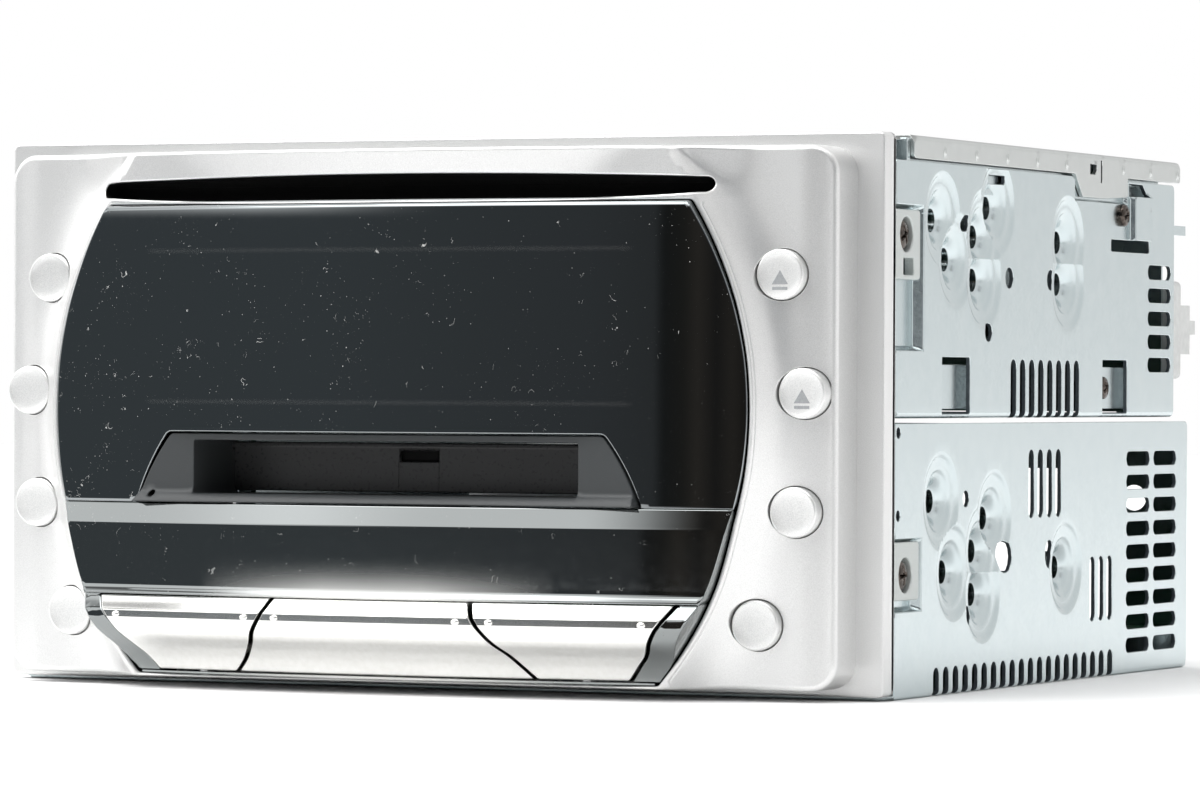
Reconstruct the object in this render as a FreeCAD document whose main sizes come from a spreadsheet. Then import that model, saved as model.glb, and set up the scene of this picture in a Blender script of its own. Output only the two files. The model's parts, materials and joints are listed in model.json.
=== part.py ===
import FreeCAD, Part
import math
import os
import Sketcher

# Double-height car disc player: a front panel with a bowed black lens, chrome rocker keys and round buttons, on two
# stacked sheet steel decks that hold a CD drive (upper) and a cartridge-disc drive (lower).
#
# Design axes, in millimetres: +X to the right seen from the front, +Y to the rear, +Z up. The flat front face of the
# outer frame is y = 0 and its lower edge is z = 0. Every piece is then shifted by y_shift and z_shift, so that the
# finished part stands on z = 0 with its origin under the centre of its bounding box.

V = FreeCAD.Vector
doc = FreeCAD.newDocument("disc_player")

# ---------------------------------------------------------------- driving dimensions
DIMS = [
    ("y_shift", -71.85, "design y to part y"),
    ("z_shift", 0.75, "design z to part z"),
    ("frame_width", 178.0, "flat outer frame, double-height unit"),
    ("frame_height", 100.0, "flat outer frame"),
    ("frame_depth", 5.0, "flat outer frame"),
    ("frame_window_half", 80.0, "half width of the frame's window"),
    ("frame_window_low", 4.0, ""),
    ("frame_window_high", 96.0, ""),
    ("tab_thick", 1.8, "side tabs of the frame"),
    ("tab_end", 17.0, "rear end of the side tabs"),
    ("bezel_half", 83.8, "half width of the raised bezel"),
    ("bezel_low", 1.3, ""),
    ("bezel_high", 98.0, ""),
    ("bezel_corner", 5.0, "corner radius seen from the front"),
    ("bezel_rise", 9.6, "flat part of the bezel in front of the frame"),
    ("bezel_wall", 2.0, ""),
    ("flare_rise", 13.8, "lip of the bezel round the lens"),
    ("brow_rise", 21.0, "brow over the lens, before it is turned"),
    ("bow_axis", 296.0, "y of the upright axis that the lens is turned about"),
    ("side_arc", 75.0, "radius of the lens sides seen from the front"),
    ("side_arc_x", 5.0, "their centres are this far across the middle"),
    ("side_arc_z", 50.66, "height of their centres"),
    ("lens_top", 89.2, ""),
    ("seam_z", 33.45, "seam between upper and lower lens"),
    ("lens_wall", 2.2, ""),
    ("lens_rim", 1.6, ""),
    ("lens_back", -10.0, "rear edge of the lens walls"),
    ("lens_gap", 0.4, "gap between lens and bezel"),
    ("cd_slot_half", 61.3, ""),
    ("cd_slot_low", 90.0, ""),
    ("cd_slot_high", 94.0, "at the middle"),
    ("md_half", 38.75, "half width of the cartridge slot"),
    ("md_low", 35.2, ""),
    ("md_high", 45.0, ""),
    ("md_front", -20.7, "front of the slot surround"),
    ("md_back", -3.6, "rear of the slot surround"),
    ("door_y", -5.2, "shutter pivot"),
    ("door_z", 43.9, "shutter pivot"),
    ("trunnion_radius", 0.75, ""),
    ("running_gap", 0.05, "radial clearance of running fits"),
    ("key_high", 16.4, ""),
    ("key_low", 2.75, ""),
    ("key_gap", 0.9, "between neighbouring keys"),
    ("key_wall", 1.5, ""),
    ("key_pivot_y", -16.0, ""),
    ("key_pivot_x", 38.7, "outer keys' pivots"),
    ("key_pin_radius", 1.0, ""),
    ("button_radius", 4.45, ""),
    ("button_hole", 4.85, ""),
    ("button_face", -11.2, "front of the buttons"),
    ("button_flange", 5.5, ""),
    ("button_stem", 1.5, ""),
    ("switch_front", -3.85, "front of the switch plungers"),
    ("switch_reach", 74.9, "outermost switches"),
    ("board_y", 1.0, "front circuit board"),
    ("board_thick", 1.6, ""),
    ("case_half", 89.0, "half width of the steel decks"),
    ("case_bottom", -0.75, ""),
    ("case_front", 5.3, ""),
    ("sheet", 0.8, "steel sheet"),
    ("low_deck_top", 48.7, ""),
    ("low_deck_depth", 163.0, ""),
    ("up_deck_low", 49.6, ""),
    ("up_deck_top", 95.8, ""),
    ("up_deck_depth", 154.5, ""),
    ("cover_top", 100.5, ""),
    ("cover_front", 12.5, ""),
    ("cover_rear", 158.0, ""),
    ("cover_flange", 96.3, "lower edge of the cover's flanges"),
    ("vent_pitch", 4.852, ""),
    ("vent_width", 3.0, ""),
    ("m5_drill", 2.1, "tapped holes for mounting brackets"),
    ("m5_cone", 4.7, "mouth of the cups round them"),
    ("dish_radius", 8.3, "shallow dish round the cups"),
    ("pocket_depth", 2.0, "recess for the frame's tabs"),
    ("screw_radius", 1.5, ""),
    ("screw_head", 2.9, ""),
    ("main_board_z", 6.0, ""),
    ("cd_plate_z", 70.4, "base plate of the CD drive"),
    ("cd_half", 70.0, ""),
    ("roller_y", 16.0, ""),
    ("roller_z", 88.4, ""),
    ("roller_radius", 2.9, ""),
    ("shaft_radius", 1.2, ""),
    ("gear_module", 0.5, ""),
    ("roller_teeth", 30.0, ""),
    ("motor_teeth", 10.0, ""),
    ("gear_x", 71.6, "inner face of the gears"),
    ("gear_width", 2.6, ""),
    ("cd_center_y", 78.0, ""),
    ("turntable_radius", 15.0, ""),
    ("turntable_z", 90.2, ""),
    ("spindle_radius", 1.0, ""),
    ("clamp_pivot_y", 138.0, ""),
    ("clamp_z", 94.6, ""),
    ("rod_radius", 1.5, ""),
    ("cd_rod_x", 20.0, ""),
    ("cd_rod_z", 78.0, ""),
    ("md_plate_z", 22.0, "base plate of the cartridge drive"),
    ("md_drive_half", 42.0, ""),
    ("holder_half", 37.4, ""),
    ("holder_low", 36.2, ""),
    ("holder_high", 44.0, ""),
    ("md_center_y", 42.0, ""),
    ("md_rod_x", 16.0, ""),
    ("md_rod_z", 29.0, ""),
]
sheet = doc.addObject("Spreadsheet::Sheet", "Sheet")
sheet.set("A1", "name")
sheet.set("B1", "value")
sheet.set("C1", "note")
NUM = {}
for i, (name, value, note) in enumerate(DIMS):
    sheet.set("A%d" % (i + 2), name)
    sheet.set("B%d" % (i + 2), repr(value))
    sheet.setAlias("B%d" % (i + 2), name)
    if note:
        sheet.set("C%d" % (i + 2), note)
    NUM[name] = value
doc.recompute()


class Dim:
    """A number together with the expression that it comes from."""

    def __init__(self, value, text=None, bound=False):
        self.value = float(value)
        self.text = repr(round(float(value), 6)) if text is None else text
        self.bound = bound

    def join(self, other, sign, value):
        return Dim(value, "(%s %s %s)" % (self.text, sign, other.text), self.bound or other.bound)

    def __add__(self, other):
        other = dim(other)
        return self.join(other, "+", self.value + other.value)

    def __radd__(self, other):
        return dim(other) + self

    def __sub__(self, other):
        other = dim(other)
        return self.join(other, "-", self.value - other.value)

    def __rsub__(self, other):
        return dim(other) - self

    def __mul__(self, other):
        other = dim(other)
        return self.join(other, "*", self.value * other.value)

    def __rmul__(self, other):
        return dim(other) * self

    def __truediv__(self, other):
        other = dim(other)
        return self.join(other, "/", self.value / other.value)

    def __neg__(self):
        return dim(0) - self

    def __float__(self):
        return self.value


def dim(x):
    return x if isinstance(x, Dim) else Dim(x)


def D(name):
    return Dim(NUM[name], "Sheet." + name, True)


def bind(obj, path, x, set_value=None):
    x = dim(x)
    if set_value is not None:
        set_value(x.value)
    if x.bound:
        obj.setExpression(path, x.text)


def slot_points(a0, a1, b0, b1):
    """Outline of a long hole with round ends, for Sketch.poly."""
    if a1 - a0 > b1 - b0:
        r, m = (b1 - b0) / 2, (b0 + b1) / 2
        return [(a0 + r, b0), (a1 - r, b0, a1, m), (a1 - r, b1), (a0 + r, b1, a0, m)]
    r, m = (a1 - a0) / 2, (a0 + a1) / 2
    return [(a0, b1 - r), (a0, b0 + r, m, b0), (a1, b0 + r), (a1, b1 - r, m, b1)]


def rect_points(a0, a1, b0, b1):
    return [(a0, b0), (a1, b0), (a1, b1), (a0, b1)]


# ---------------------------------------------------------------- sketches
PLANES = {"XY": ("XY_Plane", 1), "XZ": ("XZ_Plane", -1), "YZ": ("YZ_Plane", 1)}


class Sketch:
    """A sketch on one of the origin planes, moved along the plane's world axis to `at`."""

    def __init__(self, host, plane, at=0.0):
        at = dim(at)
        self.plane = plane
        if isinstance(host, Piece):
            self.obj = host.body.newObject("Sketcher::SketchObject", host.body.Name + "_sketch")
            role, sign = PLANES[plane]
            origin = [o for o in host.body.Origin.OriginFeatures if o.Role == role][0]
            self.obj.AttachmentSupport = [(origin, "")]
            self.obj.MapMode = "FlatFace"
            self.obj.AttachmentOffset = FreeCAD.Placement(V(0, 0, sign * at.value), FreeCAD.Rotation())
            if at.bound:
                self.obj.setExpression("AttachmentOffset.Base.z", at.text if sign > 0 else "0 - " + at.text)
        else:
            self.obj = doc.addObject("Sketcher::SketchObject", host + "_sketch")
            if plane == "XY":
                turn, base = FreeCAD.Rotation(), V(0, 0, at.value)
            elif plane == "XZ":
                turn, base = FreeCAD.Rotation(V(1, 0, 0), 90), V(0, at.value, 0)
            else:
                turn, base = FreeCAD.Rotation(V(1, 1, 1), 120), V(at.value, 0, 0)
            self.obj.Placement = FreeCAD.Placement(base, turn)

    def fix(self, kind, geo, pos, value):
        value = dim(value)
        n = self.obj.addConstraint(Sketcher.Constraint(kind, -1, 1, geo, pos, value.value))
        if value.bound:
            self.obj.setExpression("Constraints[%d]" % n, value.text)

    def rect(self, a0, a1, b0, b1):
        a0, a1, b0, b1 = dim(a0), dim(a1), dim(b0), dim(b1)
        p = [V(a0.value, b0.value, 0), V(a1.value, b0.value, 0), V(a1.value, b1.value, 0), V(a0.value, b1.value, 0)]
        first = self.obj.GeometryCount
        for i in range(4):
            self.obj.addGeometry(Part.LineSegment(p[i], p[(i + 1) % 4]), False)
        for i in range(4):
            self.obj.addConstraint(Sketcher.Constraint("Coincident", first + i, 2, first + (i + 1) % 4, 1))
        for i, kind in enumerate(("Horizontal", "Vertical", "Horizontal", "Vertical")):
            self.obj.addConstraint(Sketcher.Constraint(kind, first + i))
        self.fix("DistanceX", first, 1, a0)
        self.fix("DistanceY", first, 1, b0)
        self.fix("DistanceX", first + 2, 1, a1)
        self.fix("DistanceY", first + 2, 1, b1)
        return self

    def circle(self, a, b, r):
        a, b, r = dim(a), dim(b), dim(r)
        g = self.obj.addGeometry(Part.Circle(V(a.value, b.value, 0), V(0, 0, 1), r.value), False)
        self.fix("DistanceX", g, 3, a)
        self.fix("DistanceY", g, 3, b)
        n = self.obj.addConstraint(Sketcher.Constraint("Radius", g, r.value))
        if r.bound:
            self.obj.setExpression("Constraints[%d]" % n, r.text)
        return self

    def poly(self, points):
        """A closed outline. A point is (a, b), or (a, b, mid_a, mid_b) where an arc through the mid point leads on."""
        n = len(points)
        first = self.obj.GeometryCount
        for i in range(n):
            p, q = points[i], points[(i + 1) % n]
            a, b = V(float(p[0]), float(p[1]), 0), V(float(q[0]), float(q[1]), 0)
            if len(p) == 4:
                self.obj.addGeometry(Part.Arc(a, V(float(p[2]), float(p[3]), 0), b), False)
            elif a.distanceToPoint(b) > 1e-7:
                self.obj.addGeometry(Part.LineSegment(a, b), False)
        return self

    def slot(self, a0, a1, b0, b1):
        """A long hole with round ends, inside the given limits."""
        return self.poly(slot_points(float(a0), float(a1), float(b0), float(b1)))


# ---------------------------------------------------------------- pieces
pieces = []


def shift(obj):
    obj.Placement.Base = V(0, NUM["y_shift"], NUM["z_shift"])
    obj.setExpression("Placement.Base.y", "Sheet.y_shift")
    obj.setExpression("Placement.Base.z", "Sheet.z_shift")


class Piece:
    """One sub-part made in a body from sketches, pads and pockets."""

    def __init__(self, label, whole=True):
        self.body = doc.addObject("PartDesign::Body", label)
        if whole:
            self.body.Label = label
            pieces.append(self.body)
            shift(self.body)

    def volume(self):
        return self.body.Shape.Volume if not self.body.Shape.isNull() else 0.0

    def run(self, sketch, start, end, cut=False):
        """Extrudes the sketch, which lies at `start`, to `end` along its plane's world axis."""
        start, end = dim(start), dim(end)
        before = self.volume()
        kind = "PartDesign::Pocket" if cut else "PartDesign::Pad"
        f = self.body.newObject(kind, self.body.Name + ("_pocket" if cut else "_pad"))
        f.Profile = (sketch.obj, [""])
        forward = end.value > start.value
        length = end - start if forward else start - end
        along_normal = forward == (sketch.plane != "XZ")
        f.Reversed = along_normal if cut else not along_normal
        f.Length = length.value
        if length.bound:
            f.setExpression("Length", length.text)
        f.Refine = False
        doc.recompute()
        after = self.volume()
        if cut and not after < before - 1e-6:
            raise RuntimeError("%s cuts nothing" % f.Name)
        if not cut and not after > before + 1e-6:
            raise RuntimeError("%s adds nothing" % f.Name)
        return f

    def box(self, x0, x1, y0, y1, z0, z1, cut=False):
        return self.run(Sketch(self, "XY", z0).rect(x0, x1, y0, y1), z0, z1, cut)

    def boxes(self, rects, z0, z1, cut=False):
        s = Sketch(self, "XY", z0)
        for r in rects:
            s.rect(*r)
        return self.run(s, z0, z1, cut)

    def cyl(self, axis, a, b, r, start, end, cut=False):
        plane = {"X": "YZ", "Y": "XZ", "Z": "XY"}[axis]
        return self.run(Sketch(self, plane, start).circle(a, b, r), start, end, cut)

    def cyls(self, axis, rounds, start, end, cut=False):
        plane = {"X": "YZ", "Y": "XZ", "Z": "XY"}[axis]
        s = Sketch(self, plane, start)
        for a, b, r in rounds:
            s.circle(a, b, r)
        return self.run(s, start, end, cut)

    def prism(self, plane, points, start, end, cut=False):
        return self.run(Sketch(self, plane, start).poly(points), start, end, cut)

    def cone(self, base, direction, r1, r2, height, cut=True):
        before = self.volume()
        kind = "PartDesign::SubtractiveCone" if cut else "PartDesign::AdditiveCone"
        f = self.body.newObject(kind, self.body.Name + "_cone")
        r1, r2, height = dim(r1), dim(r2), dim(height)
        f.Radius1, f.Radius2, f.Height = r1.value, r2.value, height.value
        for path, x in (("Radius1", r1), ("Radius2", r2), ("Height", height)):
            if x.bound:
                f.setExpression(path, x.text)
        f.Placement = FreeCAD.Placement(V(*base), FreeCAD.Rotation(V(0, 0, 1), V(*direction)))
        doc.recompute()
        if abs(self.volume() - before) < 1e-6:
            raise RuntimeError("%s changes nothing" % f.Name)
        return f

    def round(self, pick, r):
        """Fillets the edges of the present shape that `pick` accepts."""
        tip = self.body.Tip
        names = []
        for i, e in enumerate(tip.Shape.Edges):
            if pick(e):
                names.append("Edge%d" % (i + 1))
        if not names:
            raise RuntimeError("no edge to round on " + self.body.Name)
        f = self.body.newObject("PartDesign::Fillet", self.body.Name + "_fillet")
        f.Base = (tip, names)
        r = dim(r)
        f.Radius = r.value
        if r.bound:
            f.setExpression("Radius", r.text)
        doc.recompute()
        return f

    def pattern(self, feature, sketch, axis, pitch, count):
        """Repeats a feature in a row at the given pitch."""
        f = self.body.newObject("PartDesign::LinearPattern", self.body.Name + "_row")
        f.Originals = [feature]
        f.Direction = (sketch.obj, [axis])
        length = dim(pitch) * (count - 1)
        f.Length = length.value
        if length.bound:
            f.setExpression("Length", length.text)
        f.Occurrences = count
        self.body.Tip = f
        doc.recompute()
        return f


def vertical(e):
    return len(e.Vertexes) == 2 and abs(e.Vertexes[0].X - e.Vertexes[1].X) < 1e-6 and abs(e.Vertexes[0].Y - e.Vertexes[1].Y) < 1e-6


def along_y(e):
    return len(e.Vertexes) == 2 and abs(e.Vertexes[0].X - e.Vertexes[1].X) < 1e-6 and abs(e.Vertexes[0].Z - e.Vertexes[1].Z) < 1e-6


# Part-style construction, for the turned front pieces.
def extruded(name, plane, at, shape, length):
    """shape is a list of outlines for Sketch.poly. length is along the plane's world axis."""
    s = Sketch(name, plane, at)
    for outline in shape:
        s.poly(outline)
    f = doc.addObject("Part::Extrusion", name)
    f.Base = s.obj
    f.DirMode = "Custom"
    f.Dir = {"XY": V(0, 0, 1), "XZ": V(0, 1, 0), "YZ": V(1, 0, 0)}[plane]
    f.LengthFwd = float(length)
    if dim(length).bound:
        f.setExpression("LengthFwd", dim(length).text)
    f.Solid = True
    return f


def turned(name, profile, back):
    """Everything behind a front profile of (z, y) points, turned about the upright bow axis. It spans 40 degrees."""
    pts = [(y, z) for z, y in profile]
    pts += [(back, profile[-1][0]), (back, profile[0][0])]
    s = Sketch(name, "YZ", 0).poly(pts)
    f = doc.addObject("Part::Revolution", name)
    f.Source = s.obj
    f.Axis = V(0, 0, 1)
    f.Base = V(0, NUM["bow_axis"], 0)
    f.setExpression("Base.y", "Sheet.bow_axis")
    f.Angle = 40
    f.Symmetric = True
    f.Solid = True
    return f


def boolean(kind, name, base, tool):
    f = doc.addObject("Part::" + kind, name)
    f.Base, f.Tool = base, tool
    return f


def common(name, a, b):
    return boolean("Common", name, a, b)


def cut(name, a, b):
    return boolean("Cut", name, a, b)


def fuse(name, shapes):
    f = doc.addObject("Part::MultiFuse", name)
    f.Shapes = shapes
    return f


def cylinder(name, r, length, base, direction=(0, 0, 1)):
    f = doc.addObject("Part::Cylinder", name)
    r, length = dim(r), dim(length)
    f.Radius, f.Height = r.value, length.value
    for path, x in (("Radius", r), ("Height", length)):
        if x.bound:
            f.setExpression(path, x.text)
    f.Placement = FreeCAD.Placement(V(*base), FreeCAD.Rotation(V(0, 0, 1), V(*direction)))
    return f


def block(name, x0, x1, y0, y1, z0, z1):
    f = doc.addObject("Part::Box", name)
    x0, x1, y0, y1, z0, z1 = (dim(q) for q in (x0, x1, y0, y1, z0, z1))
    for prop, size in (("Length", x1 - x0), ("Width", y1 - y0), ("Height", z1 - z0)):
        setattr(f, prop, size.value)
        if size.bound:
            f.setExpression(prop, size.text)
    f.Placement.Base = V(x0.value, y0.value, z0.value)
    for path, q in (("Placement.Base.x", x0), ("Placement.Base.y", y0), ("Placement.Base.z", z0)):
        if q.bound:
            f.setExpression(path, q.text)
    return f


def finished(label, obj):
    obj.Label = label
    shift(obj)
    pieces.append(obj)
    doc.recompute()
    return obj


# ---------------------------------------------------------------- shapes shared by the front pieces
ARC_R, ARC_X, ARC_Z = NUM["side_arc"], NUM["side_arc_x"], NUM["side_arc_z"]


def side_x(z, grow=0.0):
    """Half width of the lens outline at height z, grown outwards by `grow`."""
    return -ARC_X + math.sqrt((ARC_R + grow) ** 2 - (z - ARC_Z) ** 2)


def outline(z0, z1, grow=0.0):
    """The lens outline between two heights: two arcs joined by level lines."""
    zm = (z0 + z1) / 2
    a, b, m = side_x(z0, grow), side_x(z1, grow), side_x(zm, grow)
    return [(-a, z0), (a, z0, m, zm), (b, z1), (-b, z1, -m, zm)]


# Front profiles at the middle of the panel: (height, y)
LENS = [(33.45, -24.6), (35.5, -24.1), (40.0, -24.0), (50.0, -23.9), (60.0, -23.8), (75.0, -23.5), (87.5, -23.2), (89.2, -21.0)]
LOWER = [(16.7, -23.8), (18.0, -24.5), (21.0, -25.1), (26.0, -25.4), (30.0, -25.1), (33.35, -24.6)]
KEY = [(2.75, -20.9), (3.5, -21.2), (5.0, -22.0), (6.0, -22.8), (7.0, -23.8), (8.0, -25.1), (9.0, -26.5), (10.0, -27.6),
       (11.0, -28.3), (12.4, -28.8), (13.2, -28.4), (14.0, -27.9), (15.0, -27.3), (16.4, -26.4)]
# Where the keys are split, and where they end, right of the middle: (height, x)
SPLIT = [(16.4, 19.9), (14.2, 20.9), (12.3, 22.0), (10.5, 23.3), (8.8, 24.5), (7.0, 26.2), (5.0, 27.9), (2.75, 30.1)]
END = [(16.4, 57.8), (14.0, 56.3), (12.0, 54.8), (9.5, 53.1), (7.3, 51.5), (5.5, 49.7), (2.75, 47.4)]


def moved(profile, back):
    return [(z, y + back) for z, y in profile]


def spread(profile, z_low, z_high):
    """Stretches the ends of a profile to new heights, so that it covers its piece fully."""
    p = list(profile)
    return [(z_low, p[0][1])] + p + [(z_high, p[-1][1])]


# ================================================================ FRONT PANEL
# Outer frame: a flat ring, with two tabs on each side that lie in recesses of the decks.
p = Piece("front_frame")
half = D("frame_width") / 2
f = p.run(Sketch(p, "XZ", 0).rect(-half, half, 0, D("frame_height")), 0, D("frame_depth"))
p.round(along_y, 0.8)
p.run(Sketch(p, "XZ", -1).rect(-D("frame_window_half"), D("frame_window_half"), D("frame_window_low"), D("frame_window_high")),
      -1, D("frame_depth") + 1, cut=True)
for low, high in ((74.5, 87.0), (17.0, 27.5)):
    p.boxes([(half - D("tab_thick"), half, D("frame_depth") - 0.5, D("tab_end")),
             (-half, D("tab_thick") - half, D("frame_depth") - 0.5, D("tab_end"))], low, high)
p.cyls("X", [(10.5, 82.5, 1.65), (10.5, 21.5, 1.65)], -90, 90, cut=True)
p.cyls("X", [(10.5, 82.5, 3.15), (10.5, 21.5, 3.15)], 87.9, 90, cut=True)
p.cyls("X", [(10.5, 82.5, 3.15), (10.5, 21.5, 3.15)], -87.9, -90, cut=True)
p.run(Sketch(p, "YZ", -90).rect(9.0, 14.0, 75.3, 78.3), -90, 90, cut=True)

# Raised bezel: a shallow box with a lip flared up to the lens and a turned brow over it.
p = Piece("front_bezel")
c, bh, bl, bt = NUM["bezel_corner"], NUM["bezel_half"], NUM["bezel_low"], NUM["bezel_high"]
k = c * (1 - math.sqrt(0.5))
f = p.prism("XZ", [(-bh + c, bl), (bh - c, bl, bh - k, bl + k), (bh, bl + c), (bh, bt - c, bh - k, bt - k), (bh - c, bt),
                   (-bh + c, bt, -bh + k, bt - k), (-bh, bt - c), (-bh, bl + c, -bh + k, bl + k)],
            -D("bezel_rise"), 0)
p.round(lambda e: all(abs(v.Y + NUM["bezel_rise"]) < 1e-6 for v in e.Vertexes), 2.0)
loft = p.body.newObject("PartDesign::AdditiveLoft", "bezel_flare")
low = Sketch(p, "XZ", -D("bezel_rise") + 0.01).poly(outline(3.3, 88.0, 7.0))
high = Sketch(p, "XZ", -D("flare_rise")).poly(outline(3.3, 88.0, 1.3))
loft.Profile = (low.obj, [""])
loft.Sections = [(high.obj, [""])]
loft.Ruled = True
doc.recompute()
loft = p.body.newObject("PartDesign::AdditiveLoft", "bezel_brow")
low = Sketch(p, "XZ", -D("bezel_rise") + 0.01).poly([(-71, 86), (71, 86), (67, 95.9), (-67, 95.9)])
high = Sketch(p, "XZ", -14.5).poly([(-61.5, 88), (61.5, 88), (57.5, 97.4), (-57.5, 97.4)])
loft.Profile = (low.obj, [""])
loft.Sections = [(high.obj, [""])]
loft.Ruled = True
doc.recompute()
p.prism("XZ", [(-61.5, 88), (61.5, 88), (57.0, 98.0), (-57.0, 98.0)], -9.0, -D("brow_rise"))
g = p.body.newObject("PartDesign::Groove", "bezel_bow")
s = Sketch(p, "YZ", 0)
s.obj.AttachmentOffset = FreeCAD.Placement(V(NUM["bow_axis"], 0, 0), FreeCAD.Rotation())
s.obj.setExpression("AttachmentOffset.Base.x", "Sheet.bow_axis")
ax = NUM["bow_axis"]
s.poly([(-40 - ax, 85.0), (-18.2 - ax, 85.0), (-18.6 - ax, 91.0), (-19.5 - ax, 97.9), (-19.0 - ax, 99.0), (-40 - ax, 99.0)])
before = p.volume()
g.Profile = (s.obj, [""])
g.ReferenceAxis = (s.obj, ["V_Axis"])
g.Angle = 360
doc.recompute()
if not p.volume() < before:
    raise RuntimeError("the brow was not turned")
p.prism("XZ", outline(1.9, 89.3, NUM["lens_gap"]), -40, 1, cut=True)
sl, sh, sx = NUM["cd_slot_low"], NUM["cd_slot_high"], NUM["cd_slot_half"]
p.prism("XZ", [(-sx + 1.1, sl), (sx - 1.1, sl, sx, sl + 1.1), (sx - 1.1, sl + 2.2, 0, sh), (-sx + 1.1, sl + 2.2, -sx, sl + 1.1)],
        -40, -5, cut=True)
w = D("bezel_wall")
p.run(Sketch(p, "XZ", 1).rect(w - D("bezel_half"), D("bezel_half") - w, D("bezel_low") + w, D("bezel_high") - w),
      1, w - D("bezel_rise"), cut=True)
BUTTONS = [("source_button", -74.0, 75.0), ("mode_button", -78.3, 54.0), ("color_button", -76.7, 33.0), ("power_button", -69.5, 12.9),
           ("cd_eject_button", 74.0, 75.0), ("md_eject_button", 78.3, 54.0), ("sound_button", 76.7, 33.0), ("tone_button", 69.5, 12.9)]
p.cyls("Y", [(x, z, D("button_hole")) for _, x, z in BUTTONS], -15, 0, cut=True)
BOSSES = [(sx_ * x, z) for x, z in ((77.1, 64.2), (77.1, 43.5), (77.1, 22.0), (75.8, 85.0)) for sx_ in (-1, 1)]
p.cyls("Y", [(x, z, 2.0) for x, z in BOSSES], w - D("bezel_rise"), D("board_y"))

# Upper lens: a bowed cover with walls back to the bezel, open behind, with a trapezoid cut for the cartridge slot.
TRAP = [(-51.0, 33.0), (51.0, 33.0, 48.3, 40.4), (44.0, 46.5), (-44.0, 46.5, -48.3, 40.4)]
zt, zs = NUM["lens_top"], NUM["seam_z"]
lw, lr = NUM["lens_wall"], NUM["lens_rim"]
body = common("upper_lens_body", extruded("upper_lens_outline", "XZ", -28.0, [outline(zs, zt)], 28.0 + D("lens_back")),
              turned("upper_lens_front", LENS, 5.0))
hollow = common("upper_lens_hollow", extruded("upper_lens_inset", "XZ", -28.0, [outline(zs + lr, zt - lr, -lr)], 30.0),
                turned("upper_lens_inner", moved(spread(LENS[1:-1], 34.0, 88.5), lw), 6.0))
trap = extruded("upper_lens_trapezoid", "XZ", -40.0, [TRAP], 50.0)
posts = [cylinder("upper_lens_post_%d" % i, 1.8, 18.5, (x, -17.5, z), (0, 1, 0)) for i, (x, z) in enumerate(((-60, 81), (60, 81), (-61, 56), (61, 56)))]
finished("display_lens", fuse("display_lens", [cut("upper_lens_open", cut("upper_lens_shell", body, hollow), trap)] + posts))

# Lower lens: carries on under the seam, with a horn down each side of the keys and a thin bar under them.
zk = NUM["key_high"]
horn = [(z, y + 0.8) for z, y in KEY]
front = [(1.95, horn[0][1])] + horn[:-1] + [(16.3, horn[-1][1]), (16.35, LOWER[0][1])] + LOWER
body = common("lower_lens_body", extruded("lower_lens_outline", "XZ", -32.0, [outline(1.95, 33.35)], 32.0 + D("lens_back")),
              turned("lower_lens_front", front, 5.0))
hollow = common("lower_lens_hollow", extruded("lower_lens_inset", "XZ", -32.0, [outline(18.2, 31.75, -lr)], 34.0),
                turned("lower_lens_inner", moved(spread(LOWER[1:], 17.0, 34.0), lw), 6.0))
bay = [(e + 0.45, z) for z, e in END]
bay[0] = (bay[0][0] + 0.2, 16.85)
bay[-1] = (bay[-1][0] - 0.25, 2.45)
bay_outline = [(x, z) for x, z in bay] + [(-x, z) for x, z in reversed(bay)]
bay_cut = extruded("lower_lens_bay", "XZ", -40.0, [bay_outline], 45.0)
pin_r = D("key_pin_radius")
holes = [cylinder("pin_hole_%d" % i, pin_r, 30.0, (x, NUM["key_pivot_y"], -2.0)) for i, x in enumerate((-NUM["key_pivot_x"], 0.0, NUM["key_pivot_x"]))]
for hole, x in zip(holes, (-NUM["key_pivot_x"], 0.0, NUM["key_pivot_x"])):
    hole.Height = 22.0
shell = cut("lower_lens_shell", cut("lower_lens_bayed", body, bay_cut), hollow)
posts = [cylinder("lower_lens_post_%d" % i, 1.8, 20.5, (x, -19.5, 25.0), (0, 1, 0)) for i, x in enumerate((-57, 57))]
finished("lower_lens", fuse("lower_lens", [cut("lower_lens_bored", shell, fuse("pin_holes", holes))] + posts))

# Pins that the keys rock on, held in the bar and in the shelf over the keys.
pins = [cylinder("key_pin_%d" % i, pin_r, 18.0 - 1.95, (x, NUM["key_pivot_y"], 1.95)) for i, x in enumerate((-NUM["key_pivot_x"], 0.0, NUM["key_pivot_x"]))]
finished("key_pins", fuse("key_pins", pins))


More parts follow.
